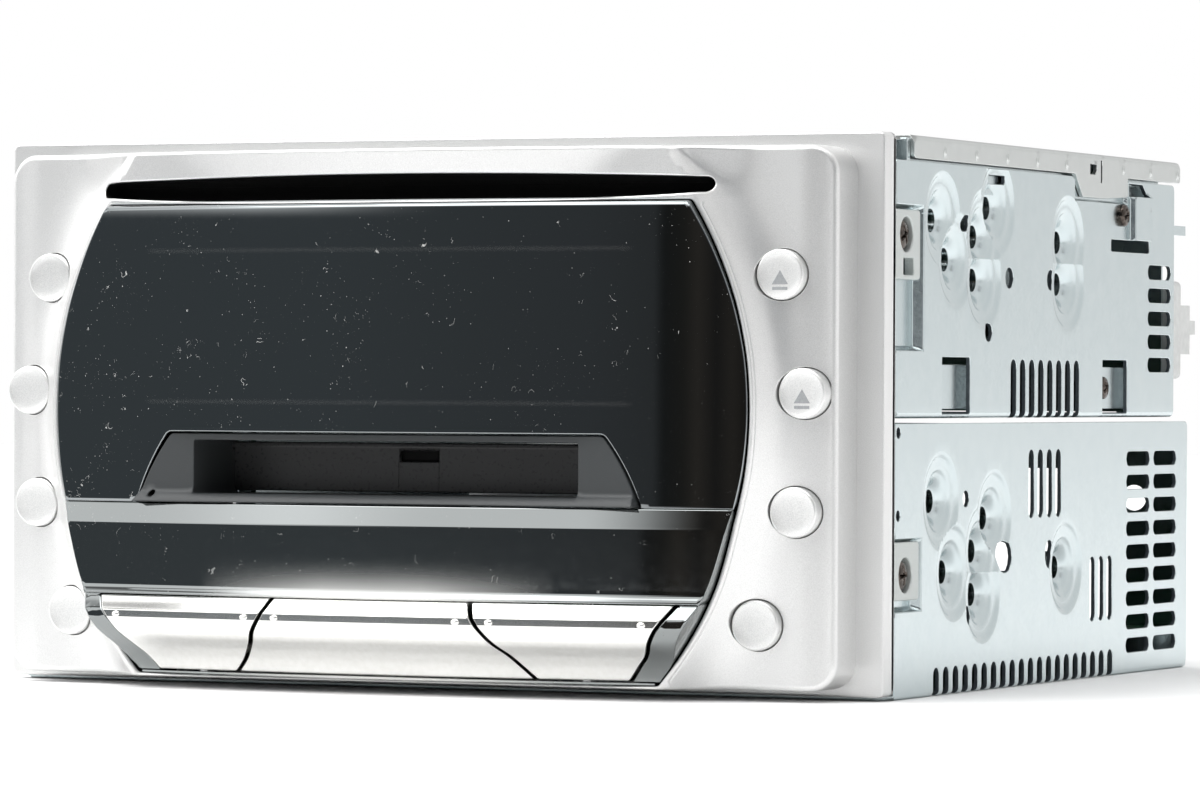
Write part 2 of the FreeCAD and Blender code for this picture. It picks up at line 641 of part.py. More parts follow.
# Keys: hollow nose-shaped caps, each with an upright sleeve on its pin and two posts towards the switches.
def key(label, left, right, x):
    """left and right are lists of (height, x), from the top down."""
    ring = [(q, z) for z, q in right] + [(q, z) for z, q in reversed(left)]
    inner_right = [(q - 1.4, z) for z, q in right]
    inner_left = [(q + 1.4, z) for z, q in left]
    inner_right[0] = (inner_right[0][0], inner_right[0][1] - 1.3)
    inner_left[0] = (inner_left[0][0], inner_left[0][1] - 1.3)
    inner_right[-1] = (inner_right[-1][0] - 0.8, inner_right[-1][1] + 1.2)
    inner_left[-1] = (inner_left[-1][0] + 0.8, inner_left[-1][1] + 1.2)
    inset = inner_right + list(reversed(inner_left))
    env = turned(label + "_front", spread(KEY, 1.0, 18.0), 5.0)
    body = common(label + "_body", extruded(label + "_outline", "XZ", -34.0, [ring], 34.0 - 15.6), env)
    hollow = common(label + "_hollow", extruded(label + "_inset", "XZ", -34.0, [inset], 36.0),
                    turned(label + "_inner", moved(spread(KEY, 1.0, 18.0), NUM["key_wall"]), 6.0))
    shell = cut(label + "_shell", body, hollow)
    sleeve = cylinder(label + "_sleeve", 2.3, 12.6, (x, NUM["key_pivot_y"], 3.3))
    rib = block(label + "_rib", x - 0.9, x + 0.9, -30.0, D("key_pivot_y"), 3.3, 15.9)
    posts = [cylinder(label + "_post_%d" % i, 1.2, 27.0 - 4.3, (x + q, -27.0, 9.5), (0, 1, 0)) for i, q in enumerate((-12.0, 12.0))]
    inside = common(label + "_inside", fuse(label + "_bones", [rib] + posts), env)
    whole = fuse(label + "_whole", [shell, sleeve, inside])
    bore = cylinder(label + "_bore", D("key_pin_radius") + D("running_gap"), 20.0, (x, NUM["key_pivot_y"], 0.0))
    finished(label, cut(label, whole, bore))


hg = NUM["key_gap"] / 2
key("key_center", [(z, -q + hg) for z, q in SPLIT], [(z, q - hg) for z, q in SPLIT], 0.0)
key("key_right", [(z, q + hg) for z, q in SPLIT], [(z, q) for z, q in END], NUM["key_pivot_x"])
key("key_left", [(z, -q) for z, q in END], [(z, -q - hg) for z, q in SPLIT], -NUM["key_pivot_x"])

# Cartridge slot surround: fills the trapezoid, with a straight mouth, side walls that carry the shutter, and a pinhole.
TRAP_IN = [(-50.3, 33.75), (50.3, 33.75, 47.95, 40.4), (43.85, 46.25), (-43.85, 46.25, -47.95, 40.4)]
p = Piece("md_slot_surround")
p.run(Sketch(p, "XZ", D("md_front")).poly(TRAP_IN), D("md_front"), D("md_back"))
p.run(Sketch(p, "XZ", -30).rect(-D("md_half"), D("md_half"), D("md_low"), D("md_high")), -30, 0, cut=True)
p.boxes([(40.4, 43.4, -18.7, 0), (-43.4, -40.4, -18.7, 0)], 35.4, 45.5, cut=True)
p.cyl("X", D("door_y"), D("door_z"), D("trunnion_radius") + D("running_gap"), -40.5, 40.5, cut=True)
p.cyl("Y", -47.1, 35.1, 0.6, -25, 0, cut=True)
p.cyls("Y", [(x, 40.0, 1.2) for x in (-45.6, 45.6)], D("md_back"), D("board_y"))

# Shutter door: swings inwards and up when a cartridge goes in.
p = Piece("md_door")
dh = D("md_half") - 0.55
p.run(Sketch(p, "XZ", -5.9).rect(-dh, dh, D("md_low") + 0.4, D("md_high") - 0.5), -5.9, -4.7)
p.run(Sketch(p, "XZ", -7).rect(-4.0, 4.0, 41.2, 46), -7, -4, cut=True)
p.cyl("X", D("door_y"), D("door_z"), D("trunnion_radius"), -42.6, -20.0)
p.cyl("X", D("door_y"), D("door_z"), D("trunnion_radius"), 20.0, 40.3)

# Torsion spring round the left trunnion.
helix = doc.addObject("Part::Helix", "door_spring_path")
helix.Pitch, helix.Height, helix.Radius = 0.5, 1.5, 1.25
s = doc.addObject("Sketcher::SketchObject", "door_spring_wire")
s.Placement = FreeCAD.Placement(V(0, 0, 0), FreeCAD.Rotation(V(1, 0, 0), 90))
s.addGeometry(Part.Circle(V(1.25, 0, 0), V(0, 0, 1), 0.17), False)
sw = doc.addObject("Part::Sweep", "md_door_spring")
sw.Sections = [s]
sw.Spine = (helix, ["Edge1"])
sw.Solid, sw.Frenet = True, True
sw.Label = "md_door_spring"
sw.Placement = FreeCAD.Placement(V(-42.4, NUM["door_y"] + NUM["y_shift"], NUM["door_z"] + NUM["z_shift"]), FreeCAD.Rotation(V(0, 1, 0), 90))
sw.setExpression("Placement.Base.y", "Sheet.door_y + Sheet.y_shift")
sw.setExpression("Placement.Base.z", "Sheet.door_z + Sheet.z_shift")
pieces.append(sw)
doc.recompute()

# Buttons: a cap, a flange that keeps it behind the bezel, and a stem towards its switch. The outermost stems stand off
# centre, because the circuit board ends there.
def stem_x(x):
    return math.copysign(min(abs(x), NUM["switch_reach"]), x)


for label, x, z in BUTTONS:
    p = Piece(label)
    p.cyl("Y", x, z, D("button_radius"), D("button_face"), -7.4)
    p.round(lambda e: all(abs(v.Y - NUM["button_face"]) < 1e-6 for v in e.Vertexes), 0.6)
    p.cyl("Y", x, z, D("button_flange"), -7.5, -6.5)
    if abs(x) > 76.0:
        edge = D("bezel_half") - D("bezel_wall") - 0.2
        p.box(*((edge, 90) if x > 0 else (-90, -edge)), -7.6, -6.4, z - 6, z + 6, cut=True)
    p.cyl("Y", stem_x(x), z, D("button_stem"), -6.6, D("switch_front") - 0.65)

# Front circuit board, with a window for the cartridge, and its push switches.
p = Piece("front_board")
p.run(Sketch(p, "XZ", D("board_y")).rect(-78.0, 78.0, 4.6, 87.6), D("board_y"), D("board_y") + D("board_thick"))
p.run(Sketch(p, "XZ", 0).rect(-43.0, 43.0, 31.0, 48.5), 0, 5, cut=True)
p.cyls("Y", [(x, z, 0.9) for x, z in BOSSES if abs(x) < 77.0], 0, 5, cut=True)
SWITCHES = [(stem_x(x), z) for _, x, z in BUTTONS] + [(s_ * NUM["key_pivot_x"] + q, 9.5) for s_ in (-1, 0, 1) for q in (-12.0, 12.0)]
p = Piece("tact_switches")
s = Sketch(p, "XZ", -2.4)
for x, z in SWITCHES:
    s.rect(x - 3.0, x + 3.0, z - 3.0, z + 3.0)
p.run(s, -2.4, D("board_y"))
p.cyls("Y", [(x, z, 1.6) for x, z in SWITCHES], D("switch_front"), -2.4)

# Display: a flat glass module in a holder, behind the upper lens.
p = Piece("display_module")
p.run(Sketch(p, "XZ", -15.0).rect(-47.0, 47.0, 51.5, 85.0), -15.0, -11.5)
p.run(Sketch(p, "XZ", -11.5).rect(-49.0, 49.0, 49.8, 86.2), -11.5, -9.6)
p = Piece("display_holder")
p.run(Sketch(p, "XZ", -9.6).rect(-52.0, 52.0, 49.5, 86.8), -9.6, D("board_y"))
p.run(Sketch(p, "XZ", -12).rect(-46.0, 46.0, 53.0, 83.5), -12, 3, cut=True)

# Dust felts just behind the CD slot.
p = Piece("slot_felts")
s = Sketch(p, "XZ", -7.6).rect(-62.5, 62.5, 91.85, 95.4).rect(-62.5, 62.5, 87.8, 91.45)
p.run(s, -7.6, -6.6)

# Flat cable from the front board down to the main board.
p = Piece("ribbon_cable")
p.prism("YZ", [(2.6, 26.0), (4.2, 26.0), (4.2, 12.0), (26.0, 8.4), (26.0, 7.6), (32.0, 7.6), (32.0, 8.1), (26.6, 8.1),
               (26.6, 8.9), (4.7, 12.5), (4.7, 26.5), (2.6, 26.5)], -76.0, -50.0)

# ================================================================ STEEL DECKS
UP_M5 = [(28.0, 85.5), (34.8, 78.5), (55.8, 88.5), (49.0, 83.0), (49.0, 75.0), (93.5, 83.0), (93.5, 75.0)]
LOW_M5 = [(27.8, 34.5), (34.3, 21.5), (54.8, 31.0), (49.0, 25.0), (49.0, 17.0), (93.0, 21.0)]


def cone(name, base, direction, r1, r2, height):
    f = doc.addObject("Part::Cone", name)
    for prop, q in (("Radius1", dim(r1)), ("Radius2", dim(r2)), ("Height", dim(height))):
        setattr(f, prop, q.value)
        if q.bound:
            f.setExpression(prop, q.text)
    f.Placement = FreeCAD.Placement(V(*base), FreeCAD.Rotation(V(0, 0, 1), V(*direction)))
    return f


def cups(name, centres):
    """Tapped holes in drawn cups, each in a shallow dish, on both sides: what is added, and what is taken away."""
    ch, dr, mc, md = NUM["case_half"], D("dish_radius"), D("m5_cone"), D("m5_drill")
    add, take = [], []
    for i, (y, z) in enumerate(centres):
        for sgn, side in ((1, "r"), (-1, "l")):
            tag = "%s_cup_%d%s" % (name, i, side)
            out = (sgn, 0, 0)
            add.append(cylinder(tag + "_dish_back", dr + 0.3, 1.5, (sgn * (ch - 1.8), y, z), out))
            add.append(cylinder(tag + "_back", mc - 0.4, 2.4, (sgn * (ch - 3.9), y, z), out))
            take.append(cone(tag + "_dish", (sgn * (ch - 1.0), y, z), out, dr - 1.3, dr + 0.13, 1.1))
            take.append(cone(tag + "_mouth", (sgn * (ch - 2.6), y, z), out, md, mc - 0.5, 1.7))
        take.append(cylinder("%s_bore_%d" % (name, i), md, 182.0, (-91.0, y, z), (1, 0, 0)))
    return add, take


def blocks(name, sizes):
    """The same box on the right and on the left, for each (x0, x1, y0, y1, z0, z1)."""
    out = []
    for i, (x0, x1, y0, y1, z0, z1) in enumerate(sizes):
        out.append(block("%s_%dr" % (name, i), x0, x1, y0, y1, z0, z1))
        out.append(block("%s_%dl" % (name, i), -dim(x1), -dim(x0), y0, y1, z0, z1))
    return out


def side_tool(name, outlines, x0=-91.0, x1=91.0):
    return extruded(name, "YZ", x0, outlines, x1 - x0)


def rounds(name, spots):
    """Holes straight through both sides: (y, z, r)."""
    return [cylinder("%s_%d" % (name, i), r, 182.0, (-91.0, y, z), (1, 0, 0)) for i, (y, z, r) in enumerate(spots)]


def deck(label, shell, add, take):
    return finished(label, cut(label, fuse(label + "_made", [shell] + add), fuse(label + "_away", take)))


def wrap(y, low, high):
    """A vent of the lower edge: straight sides from below, round at the top."""
    w = NUM["vent_width"] / 2
    return [(y - w, high - w), (y - w, low), (y + w, low), (y + w, high - w, y, high)]


ch, t, cb, pd = D("case_half"), D("sheet"), D("case_bottom"), D("pocket_depth")
pitch = NUM["vent_pitch"]

# Lower deck: a tray of steel sheet, open at the front and the top.
p = Piece("lower_tray", False)
p.run(Sketch(p, "XZ", D("case_front")).rect(-ch, ch, cb, D("low_deck_top")), D("case_front"), D("low_deck_depth"))
p.round(lambda e: along_y(e) and e.Vertexes[0].Z < 0, 1.0)
p.run(Sketch(p, "XZ", 0).rect(t - ch, ch - t, cb + t, 60), 0, 170, cut=True)
add, take = cups("low", LOW_M5)
add += blocks("low_pocket_back", [(ch - pd - t, ch - 0.3, D("case_front"), 19.3, 14.4, 28.6)])
take += blocks("low_pocket", [(ch - pd, ch + 1.0, 4.0, 18.5, 15.2, 27.8)])
add += [cylinder("low_standoff_%d" % i, 3.0, D("main_board_z") - cb - 0.4, (x, y, NUM["case_bottom"] + 0.4))
        for i, (x, y) in enumerate(((-78.0, 32.0), (78.0, 32.0), (-78.0, 148.0), (78.0, 148.0)))]
take += rounds("low_screw", [(10.5, 21.5, D("screw_radius"))])
edge = [wrap(25.8 + pitch * i, -3.0, 4.4) for i in range(20)]
take += [side_tool("low_edge_vents_r", edge, 84.5, 92.0), side_tool("low_edge_vents_l", edge, -92.0, -84.5)]
take.append(side_tool("low_vents", [slot_points(72.75 + 4.85 * i, 75.7 + 4.85 * i, 30.7, 43.6) for i in range(4)]
                      + [slot_points(106.3 + 4.85 * i, 109.25 + 4.85 * i, 10.2, 22.7) for i in range(3)]
                      + [slot_points(127.0, 140.6, 3.4 + 4.58 * i, 6.2 + 4.58 * i) for i in range(9)]
                      + [slot_points(142.8, 156.4, 3.4 + 4.58 * i, 6.2 + 4.58 * i) for i in range(9)]
                      + [slot_points(38.6, 41.8, 33.3, 36.3), slot_points(56.8, 64.0, 20.8, 26.6), slot_points(81.8, 86.2, 21.0, 26.4),
                         slot_points(40.8, 44.2, 11.6, 15.1), slot_points(5.0, 7.9, 31.0, 33.4), slot_points(5.0, 8.0, 46.8, 49.5)]))
take.append(extruded("low_floor_vents", "XY", -3.0, [slot_points(-46.5 + 7.0 * i, -43.5 + 7.0 * i, 112.0, 134.0) for i in range(14)], 4.5))
deck("lower_chassis", p.body, add, take)

# Upper deck: a second tray, with lips inside for the cover and bridges set inwards between slits.
ul, ut = D("up_deck_low"), D("up_deck_top")
p = Piece("upper_tray", False)
p.run(Sketch(p, "XZ", D("case_front")).rect(-ch, ch, ul, ut), D("case_front"), D("up_deck_depth"))
p.run(Sketch(p, "XZ", 0).rect(t - ch, ch - t, ul + t, 110), 0, 170, cut=True)
p.run(Sketch(p, "XY", 48).rect(-60.0, 60.0, 60.0, 120.0), 48, 52, cut=True)
add, take = cups("up", UP_M5)
add += blocks("up_lip", [(87.1, 88.6, D("case_front"), 150.0, 95.0, 95.8), (87.1, 87.9, D("case_front"), 150.0, 91.0, D("cover_top") - t)])
add += blocks("up_pocket_back", [(ch - pd - t, ch - 0.3, D("case_front"), 19.8, 61.2, 88.4)])
take += blocks("up_pocket", [(ch - pd, ch + 1.0, 4.0, 19.0, 62.0, 87.6)])
take += blocks("up_tongue_seat", [(88.1, 91.0, 97.6, 128.0, 91.7, 97.0), (88.1, 91.0, 4.0, 160.0, 96.2, 101.0)])
take += rounds("up_round", [(10.5, 82.5, D("screw_radius")), (6.6, 70.6, 1.6), (122.5, 89.0, D("screw_radius")),
                            (30.2, 55.3, D("screw_radius")), (116.5, 55.3, D("screw_radius"))])
bridges = []
for i, y0 in enumerate((28.0, 113.0)):
    y1 = y0 + 14.0
    take += blocks("up_slit_%d" % i, [(87.3, 91.0, y0, y1, 50.3, 60.7)])
    bridges += [(86.4, 87.2, y0 - 1.0, y1 + 1.0, 51.2, 59.4), (86.4, 88.6, y0 - 1.0, y0, 51.2, 59.4), (86.4, 88.6, y1, y1 + 1.0, 51.2, 59.4)]
add += blocks("up_bridge", bridges)
edge = [wrap(64.5 + pitch * i, 48.0, 60.5) for i in range(8)]
take += [side_tool("up_edge_vents_r", edge, 84.5, 92.0), side_tool("up_edge_vents_l", edge, -92.0, -84.5)]
take.append(side_tool("up_vents", [slot_points(139.0, 152.6, 58.5 + 4.58 * i, 61.3 + 4.58 * i) for i in range(5)]
                      + [slot_points(38.0, 42.0, 83.8, 86.8), slot_points(60.0, 64.2, 73.7, 77.6), slot_points(82.1, 86.3, 73.7, 77.6),
                         slot_points(49.6, 53.3, 63.7, 67.1)]))
take.append(side_tool("up_bracket_slits", [rect_points(117.6, 141.6, 82.7, 84.2), rect_points(127.2, 129.8, 85.6, 92.2),
                                           rect_points(132.0, 142.0, 93.8, 94.8)]))
deck("upper_chassis", p.body, add, take)

# Top cover: a lid with side flanges, and a tongue on each side.
p = Piece("cover_lid", False)
p.run(Sketch(p, "XZ", D("cover_front")).rect(-ch, ch, D("cover_flange"), D("cover_top")), D("cover_front"), D("cover_rear"))
p.round(lambda e: along_y(e) and e.Vertexes[0].Z > 99, 0.7)
p.run(Sketch(p, "XZ", 0).rect(t - ch, ch - t, 90, D("cover_top") - t), 0, 170, cut=True)
tongue = [[(97.8, 97.0), (101.6, 92.0), (113.0, 92.0), (127.0, 92.6), (127.0, 97.0)]]
add = [side_tool("cover_tongue_r", tongue, 88.2, 89.0), side_tool("cover_tongue_l", tongue, -89.0, -88.2)]
take = [side_tool("cover_windows", [rect_points(105.6, 108.6, 96.5, 98.4), rect_points(111.6, 112.4, 95.0, 99.3)]),
        extruded("cover_beads", "XY", 100.0, [rect_points(-60.0, 60.0, 40.0, 41.5), rect_points(-60.0, 60.0, 118.5, 120.0),
                                              rect_points(-60.0, -58.5, 42.5, 117.5), rect_points(58.5, 60.0, 42.5, 117.5)], 2.0)]
deck("top_cover", p.body, add, take)

# Rear panel of the upper deck, with a lug at its right edge.
p = Piece("rear_panel_upper")
p.run(Sketch(p, "XZ", 152.5).rect(-87.0, 87.0, 50.6, 94.6), 152.5, 153.3)
p.boxes([(-86.9, -80.0, 146.0, 152.6), (80.0, 86.9, 146.0, 152.6)], 50.4, 51.2)
p.run(Sketch(p, "XZ", 150).rect(-52.0, -12.0, 60.0, 84.0), 150, 155, cut=True)
p.run(Sketch(p, "XZ", 150).slot(10.0, 50.0, 80.0, 83.0).slot(10.0, 50.0, 74.0, 77.0).slot(10.0, 50.0, 68.0, 71.0), 150, 155, cut=True)
p.box(86.0, 87.0, 153.2, 167.0, 86.1, 88.0)
p.prism("YZ", [(153.2, 82.0), (155.6, 82.0), (158.6, 86.2), (153.2, 86.2)], 86.0, 87.0)

# Rear panel of the lower deck.
p = Piece("rear_panel_lower")
p.run(Sketch(p, "XZ", 161.4).rect(t - ch + 0.1, ch - t - 0.1, cb + t, 48.0), 161.4, 162.2)
p.run(Sketch(p, "XZ", 160).rect(-78.0, -40.0, 9.0, 36.0), 160, 164, cut=True)
p.run(Sketch(p, "XZ", 160).rect(-14.6, 25.6, 7.2, 25.6), 160, 164, cut=True)
p.run(Sketch(p, "XZ", 160).rect(41.0, 66.0, 18.0, 39.0).rect(68.0, 74.0, 7.0, 21.0), 160, 164, cut=True)
p.cyl("Y", 78.3, 33.2, 2.6, 160, 164, cut=True)
p.cyl("Y", -24.0, 34.0, 5.6, 160, 164, cut=True)
p.cyls("Y", [(x, 36.0, 4.1) for x in (-8.0, 4.0, 16.0, 28.0)], 160, 164, cut=True)

# Finned heat sink on the outside of the lower rear panel.
p = Piece("heat_sink")
p.run(Sketch(p, "XZ", 162.2).rect(-84.0, -34.5, 4.0, 44.0), 162.2, 165.4)
s = Sketch(p, "XY", 4.0)
for i in range(9):
    s.rect(-83.6 + 6.0 * i, -82.0 + 6.0 * i, 165.3, 172.5)
p.run(s, 4.0, 44.0)

# Machine screws: two in the frame's tabs and two in the brackets, on each side.
screws = []
SCREWS = [(10.5, 82.5, 87.95), (10.5, 21.5, 87.95), (122.5, 89.0, 89.0), (116.5, 55.3, 87.2)]
for n, (y, z, seat) in enumerate(SCREWS):
    for sgn in (1, -1):
        tag = "screw_%d%s" % (n, "r" if sgn > 0 else "l")
        shank = cylinder(tag + "_shank", D("screw_radius"), 5.0, (sgn * (seat - 5.0), y, z), (sgn, 0, 0))
        head = cylinder(tag + "_head", D("screw_head"), 1.05 if seat > 87.5 else 1.3, (sgn * seat, y, z), (sgn, 0, 0))
        cross = fuse(tag + "_cross", [block(tag + "_c1", min(sgn * (seat + 0.35), sgn * (seat + 2)), max(sgn * (seat + 0.35), sgn * (seat + 2)), y - 1.7, y + 1.7, z - 0.35, z + 0.35),
                                      block(tag + "_c2", min(sgn * (seat + 0.35), sgn * (seat + 2)), max(sgn * (seat + 0.35), sgn * (seat + 2)), y - 0.35, y + 0.35, z - 1.7, z + 1.7)])
        screws.append(cut(tag, fuse(tag + "_blank", [shank, head]), cross))
group = doc.addObject("Part::Compound", "case_screws")
group.Links = screws
finished("case_screws", group)

# ================================================================ ELECTRONICS
mz = D("main_board_z")
p = Piece("main_board")
p.box(-84.0, 84.0, 22.0, 157.0, mz, mz + 1.6)
p.cyls("Z", [(x, y, 1.6) for x in (-78.0, 78.0) for y in (32.0, 148.0)], 0, 10, cut=True)
p = Piece("capacitors")
p.cyls("Z", [(-30.0, 126.0, 6.2), (-16.0, 126.0, 6.2), (-2.0, 126.0, 6.2), (-44.0, 126.0, 6.2)], mz + 1.6, 31.0)
p = Piece("power_amp")
p.run(Sketch(p, "XZ", 157.6).rect(-73.0, -45.0, 12.0, 31.0), 157.6, 162.2)
s = Sketch(p, "XZ", 158.4)
for i in range(13):
    s.rect(-72.0 + 2.1 * i, -71.4 + 2.1 * i, 5.0, 12.4)
p.run(s, 158.4, 158.9)
p = Piece("harness_socket")
p.box(-14.2, 25.2, 148.0, 166.0, mz + 1.6, 25.2)
p.box(-12.6, 23.6, 152.0, 167.0, 10.2, 23.6, cut=True)
s = Sketch(p, "XZ", 151.0)
for i in range(8):
    s.rect(-11.0 + 4.2 * i, -10.0 + 4.2 * i, 19.4, 20.4).rect(-11.0 + 4.2 * i, -10.0 + 4.2 * i, 13.4, 14.4)
p.run(s, 151.0, 162.0)
p = Piece("aerial_socket")
p.cyl("Y", -24.0, 34.0, 5.4, 148.0, 170.0)
p.cyl("Y", -24.0, 34.0, 6.6, 159.6, 161.4)
p.cyl("Y", -24.0, 34.0, 3.9, 152.0, 171.0, cut=True)
p.cyl("Y", -24.0, 34.0, 1.0, 151.0, 168.0)
p = Piece("line_sockets")
for x in (-8.0, 4.0, 16.0, 28.0):
    p.cyl("Y", x, 36.0, 4.0, 152.0, 170.5)
    p.cyl("Y", x, 36.0, 5.2, 159.8, 161.4)
    p.cyl("Y", x, 36.0, 1.7, 154.0, 171.0, cut=True)
p = Piece("rear_connector")
p.run(Sketch(p, "XZ", 153.3).rect(68.0, 86.0, 58.5, 75.5), 153.3, 155.2)
p.run(Sketch(p, "XZ", 155.0).rect(66.0, 88.4, 57.2, 76.8), 155.0, 160.3)
p.round(along_y, 1.2)
p.run(Sketch(p, "XZ", 160.2).rect(68.0, 88.0, 62.2, 72.0), 160.2, 167.0)
p.run(Sketch(p, "XZ", 166.9).rect(70.0, 88.0, 66.2, 69.0), 166.9, 170.2)

# ================================================================ CD DRIVE (upper deck)
pz, chf = D("cd_plate_z"), D("cd_half")
ang = math.radians(-50)
teeth_a, teeth_b = int(NUM["roller_teeth"]), int(NUM["motor_teeth"])
dist = NUM["gear_module"] * (teeth_a + teeth_b) / 2
my, mzz = NUM["roller_y"] + dist * math.cos(ang), NUM["roller_z"] + dist * math.sin(ang)
p = Piece("cd_base")
p.box(-chf, chf, 20.0, 145.0, pz, pz + 1.0)
p.boxes([(chf - 1.0, chf, 10.0, 145.0), (-chf, 1.0 - chf, 10.0, 145.0)], pz, 93.2)
p.box(-chf, chf, 144.0, 145.0, pz, 93.2)
p.run(Sketch(p, "XY", 60).circle(0, D("cd_center_y"), 13.2), 60, 75, cut=True)
p.box(-26.0, 34.0, 95.0, 136.0, 60, 75, cut=True)
p.cyl("X", D("roller_y"), D("roller_z"), D("shaft_radius") + D("running_gap"), -80, 80, cut=True)
p.boxes([(-24.0, 34.0, 92.0, 94.4), (-24.0, 34.0, 137.6, 140.0)], pz + 0.5, 81.5)
rod_x, rod_z = D("cd_rod_x"), D("cd_rod_z")
p.cyls("Y", [(-rod_x, rod_z, D("rod_radius")), (rod_x, rod_z, D("rod_radius"))], 91, 141, cut=True)
p.cyl("Y", 30.0, rod_z, 1.0 + D("running_gap"), 91, 141, cut=True)
p.boxes([(24.6, 26.2, 134.0, 142.0), (-26.2, -24.6, 134.0, 142.0)], pz + 0.5, 97.2)
p.cyl("X", my, mzz, 2.4, 60, 80, cut=True)
p.cyl("X", D("clamp_pivot_y"), D("clamp_z") + 0.4, 1.2 + D("running_gap"), -30, 30, cut=True)

p = Piece("cd_dampers")
for x in (-62.0, 62.0):
    for y in (30.0, 134.0):
        p.cyl("Z", x, y, 4.0, D("up_deck_low") + t, pz)
        p.cyl("Z", x, y, 6.5, D("up_deck_low") + t, D("up_deck_low") + t + 5.0)
        p.cyl("Z", x, y, 6.5, pz - 5.0, pz)

# Loading roller: a shaft, a waisted rubber sleeve on it, and a gear at its right end.
ry, rz = D("roller_y"), D("roller_z")
p = Piece("cd_roller_shaft")
p.cyl("X", ry, rz, D("shaft_radius"), -71.6, 75.0)
p = Piece("cd_roller")
p.cyl("X", ry, rz, D("roller_radius"), -61.0, 61.0)
f = p.body.newObject("PartDesign::Groove", "roller_waist")
s = Sketch(p, "XY", rz)
r0 = NUM["roller_y"]
rr = NUM["roller_radius"]
s.poly([(-61.5, r0 - rr - 1), (61.5, r0 - rr - 1), (61.5, r0 - rr), (-61.5, r0 - rr, 0, r0 - rr + 0.7)])
f.Profile = (s.obj, [""])
line = s.obj.addGeometry(Part.LineSegment(V(-70, r0, 0), V(70, r0, 0)), True)
f.ReferenceAxis = (s.obj, ["Axis0"])
f.Angle = 360
doc.recompute()
p.cyl("X", ry, rz, D("shaft_radius"), -65, 65, cut=True)


def gear(label, y, z, teeth, bore, turn=0.0):
    """A spur gear with straight-sided teeth, its axis along X."""
    m = NUM["gear_module"]
    pitch_r = m * teeth / 2
    tip, root = pitch_r + 0.85 * m, pitch_r - 1.15 * m
    step = 2 * math.pi / teeth
    pts = []
    for i in range(teeth):
        a = i * step + turn
        for r, q in ((root, -0.30), (tip, -0.11), (tip, 0.11), (root, 0.30)):
            pts.append((y + r * math.cos(a + q * step), z + r * math.sin(a + q * step)))
    p = Piece(label)
    p.prism("YZ", pts, D("gear_x"), D("gear_x") + D("gear_width"))
    p.cyl("X", y, z, bore, 60, 80, cut=True)
    return p


gear("cd_roller_gear", NUM["roller_y"], NUM["roller_z"], teeth_a, D("shaft_radius"), turn=ang)
p = gear("cd_motor_gear", my, mzz, teeth_b, 0.75, turn=ang + math.pi + math.pi / teeth_b)
p.cyl("X", my, mzz, 0.75, 60.0, 74.6)
p = Piece("cd_loading_motor")
p.cyl("X", my, mzz, 5.8, 48.0, chf - 1.0)
p.cyl("X", my, mzz, 0.75 + D("running_gap"), 59.5, 72.0, cut=True)

# Spindle motor, turntable and clamp.
cy = D("cd_center_y")
p = Piece("cd_spindle_motor")
p.cyl("Z", 0, cy, 12.8, 67.0, 84.0)
p.cyl("Z", 0, cy, 15.0, pz + 1.0, pz + 2.2)
p.box(-15.5, 15.5, 91.9, 94.0, pz + 0.9, pz + 2.3, cut=True)
p.cyl("Z", 0, cy, D("spindle_radius") + D("running_gap"), 72.0, 90.0, cut=True)
p = Piece("cd_turntable")
p.cyl("Z", 0, cy, D("turntable_radius"), D("turntable_z") - 1.6, D("turntable_z"))
p.cyl("Z", 0, cy, 7.4, D("turntable_z") - 0.1, D("turntable_z") + 1.7)
p.cyl("Z", 0, cy, 3.0, 84.6, D("turntable_z") - 1.5)
p.cyl("Z", 0, cy, D("spindle_radius"), 72.6, 85.0)
cz = D("clamp_z")
p = Piece("cd_clamp_arm")
p.prism("XY", [(-21.4, 141.0), (-21.4, 120.0), (-14.5, 78.0, 0.0, 60.5), (14.5, 78.0), (21.4, 120.0), (21.4, 141.0)], cz, cz + 0.9)
p.cyl("X", D("clamp_pivot_y"), cz + 0.4, 1.2, -26.0, 26.0)
p.cyl("Z", 0, cy, 2.6, 90, 100, cut=True)
p = Piece("cd_clamp_disc")
p.cyl("Z", 0, cy, 12.0, 91.6, cz - 0.15)
p.cyl("Z", 0, cy, 8.0, 91.0, 92.5, cut=True)
p.cyl("Z", 0, cy, 2.3, cz - 0.2, cz + 1.1)
p.cyl("Z", 0, cy, 3.6, cz + 1.05, cz + 1.6)

# Pickup on its guide rods, with the lead screw.
p = Piece("cd_guide_rods")
p.cyls("Y", [(-rod_x, rod_z, D("rod_radius")), (rod_x, rod_z, D("rod_radius"))], 92.0, 140.0)
p = Piece("cd_pickup")
p.box(-23.5, 23.5, 95.4, 111.0, 74.6, 81.6)
p.cyls("Y", [(-rod_x, rod_z, D("rod_radius") + D("running_gap")), (rod_x, rod_z, D("rod_radius") + D("running_gap"))], 90, 120, cut=True)
p.box(23.4, 28.1, 99.0, 107.0, 76.6, 79.4)
p.box(-9.0, 9.0, 96.4, 110.0, 81.5, 85.4)
p.cyl("Z", 0, 103.2, 3.4, 85.3, 87.2)
p = Piece("cd_lead_screw")
p.cyl("Y", 30.0, rod_z, 1.0, 92.2, 141.4)
p.cyl("Y", 30.0, rod_z, 1.6, 95.0, 137.0)
s = Sketch(p, "YZ", 30.0)
f = p.body.newObject("PartDesign::Groove", "screw_thread")
s.poly([(96.0, 78.0 + 1.25), (97.2, 78.0 + 1.9), (94.8, 78.0 + 1.9)])
s.obj.addGeometry(Part.LineSegment(V(90, 78.0, 0), V(140, 78.0, 0)), True)
f.Profile = (s.obj, [""])
f.ReferenceAxis = (s.obj, ["Axis0"])
f.Angle = 360
doc.recompute()
p.pattern(f, s, "H_Axis", 3.0, 14)

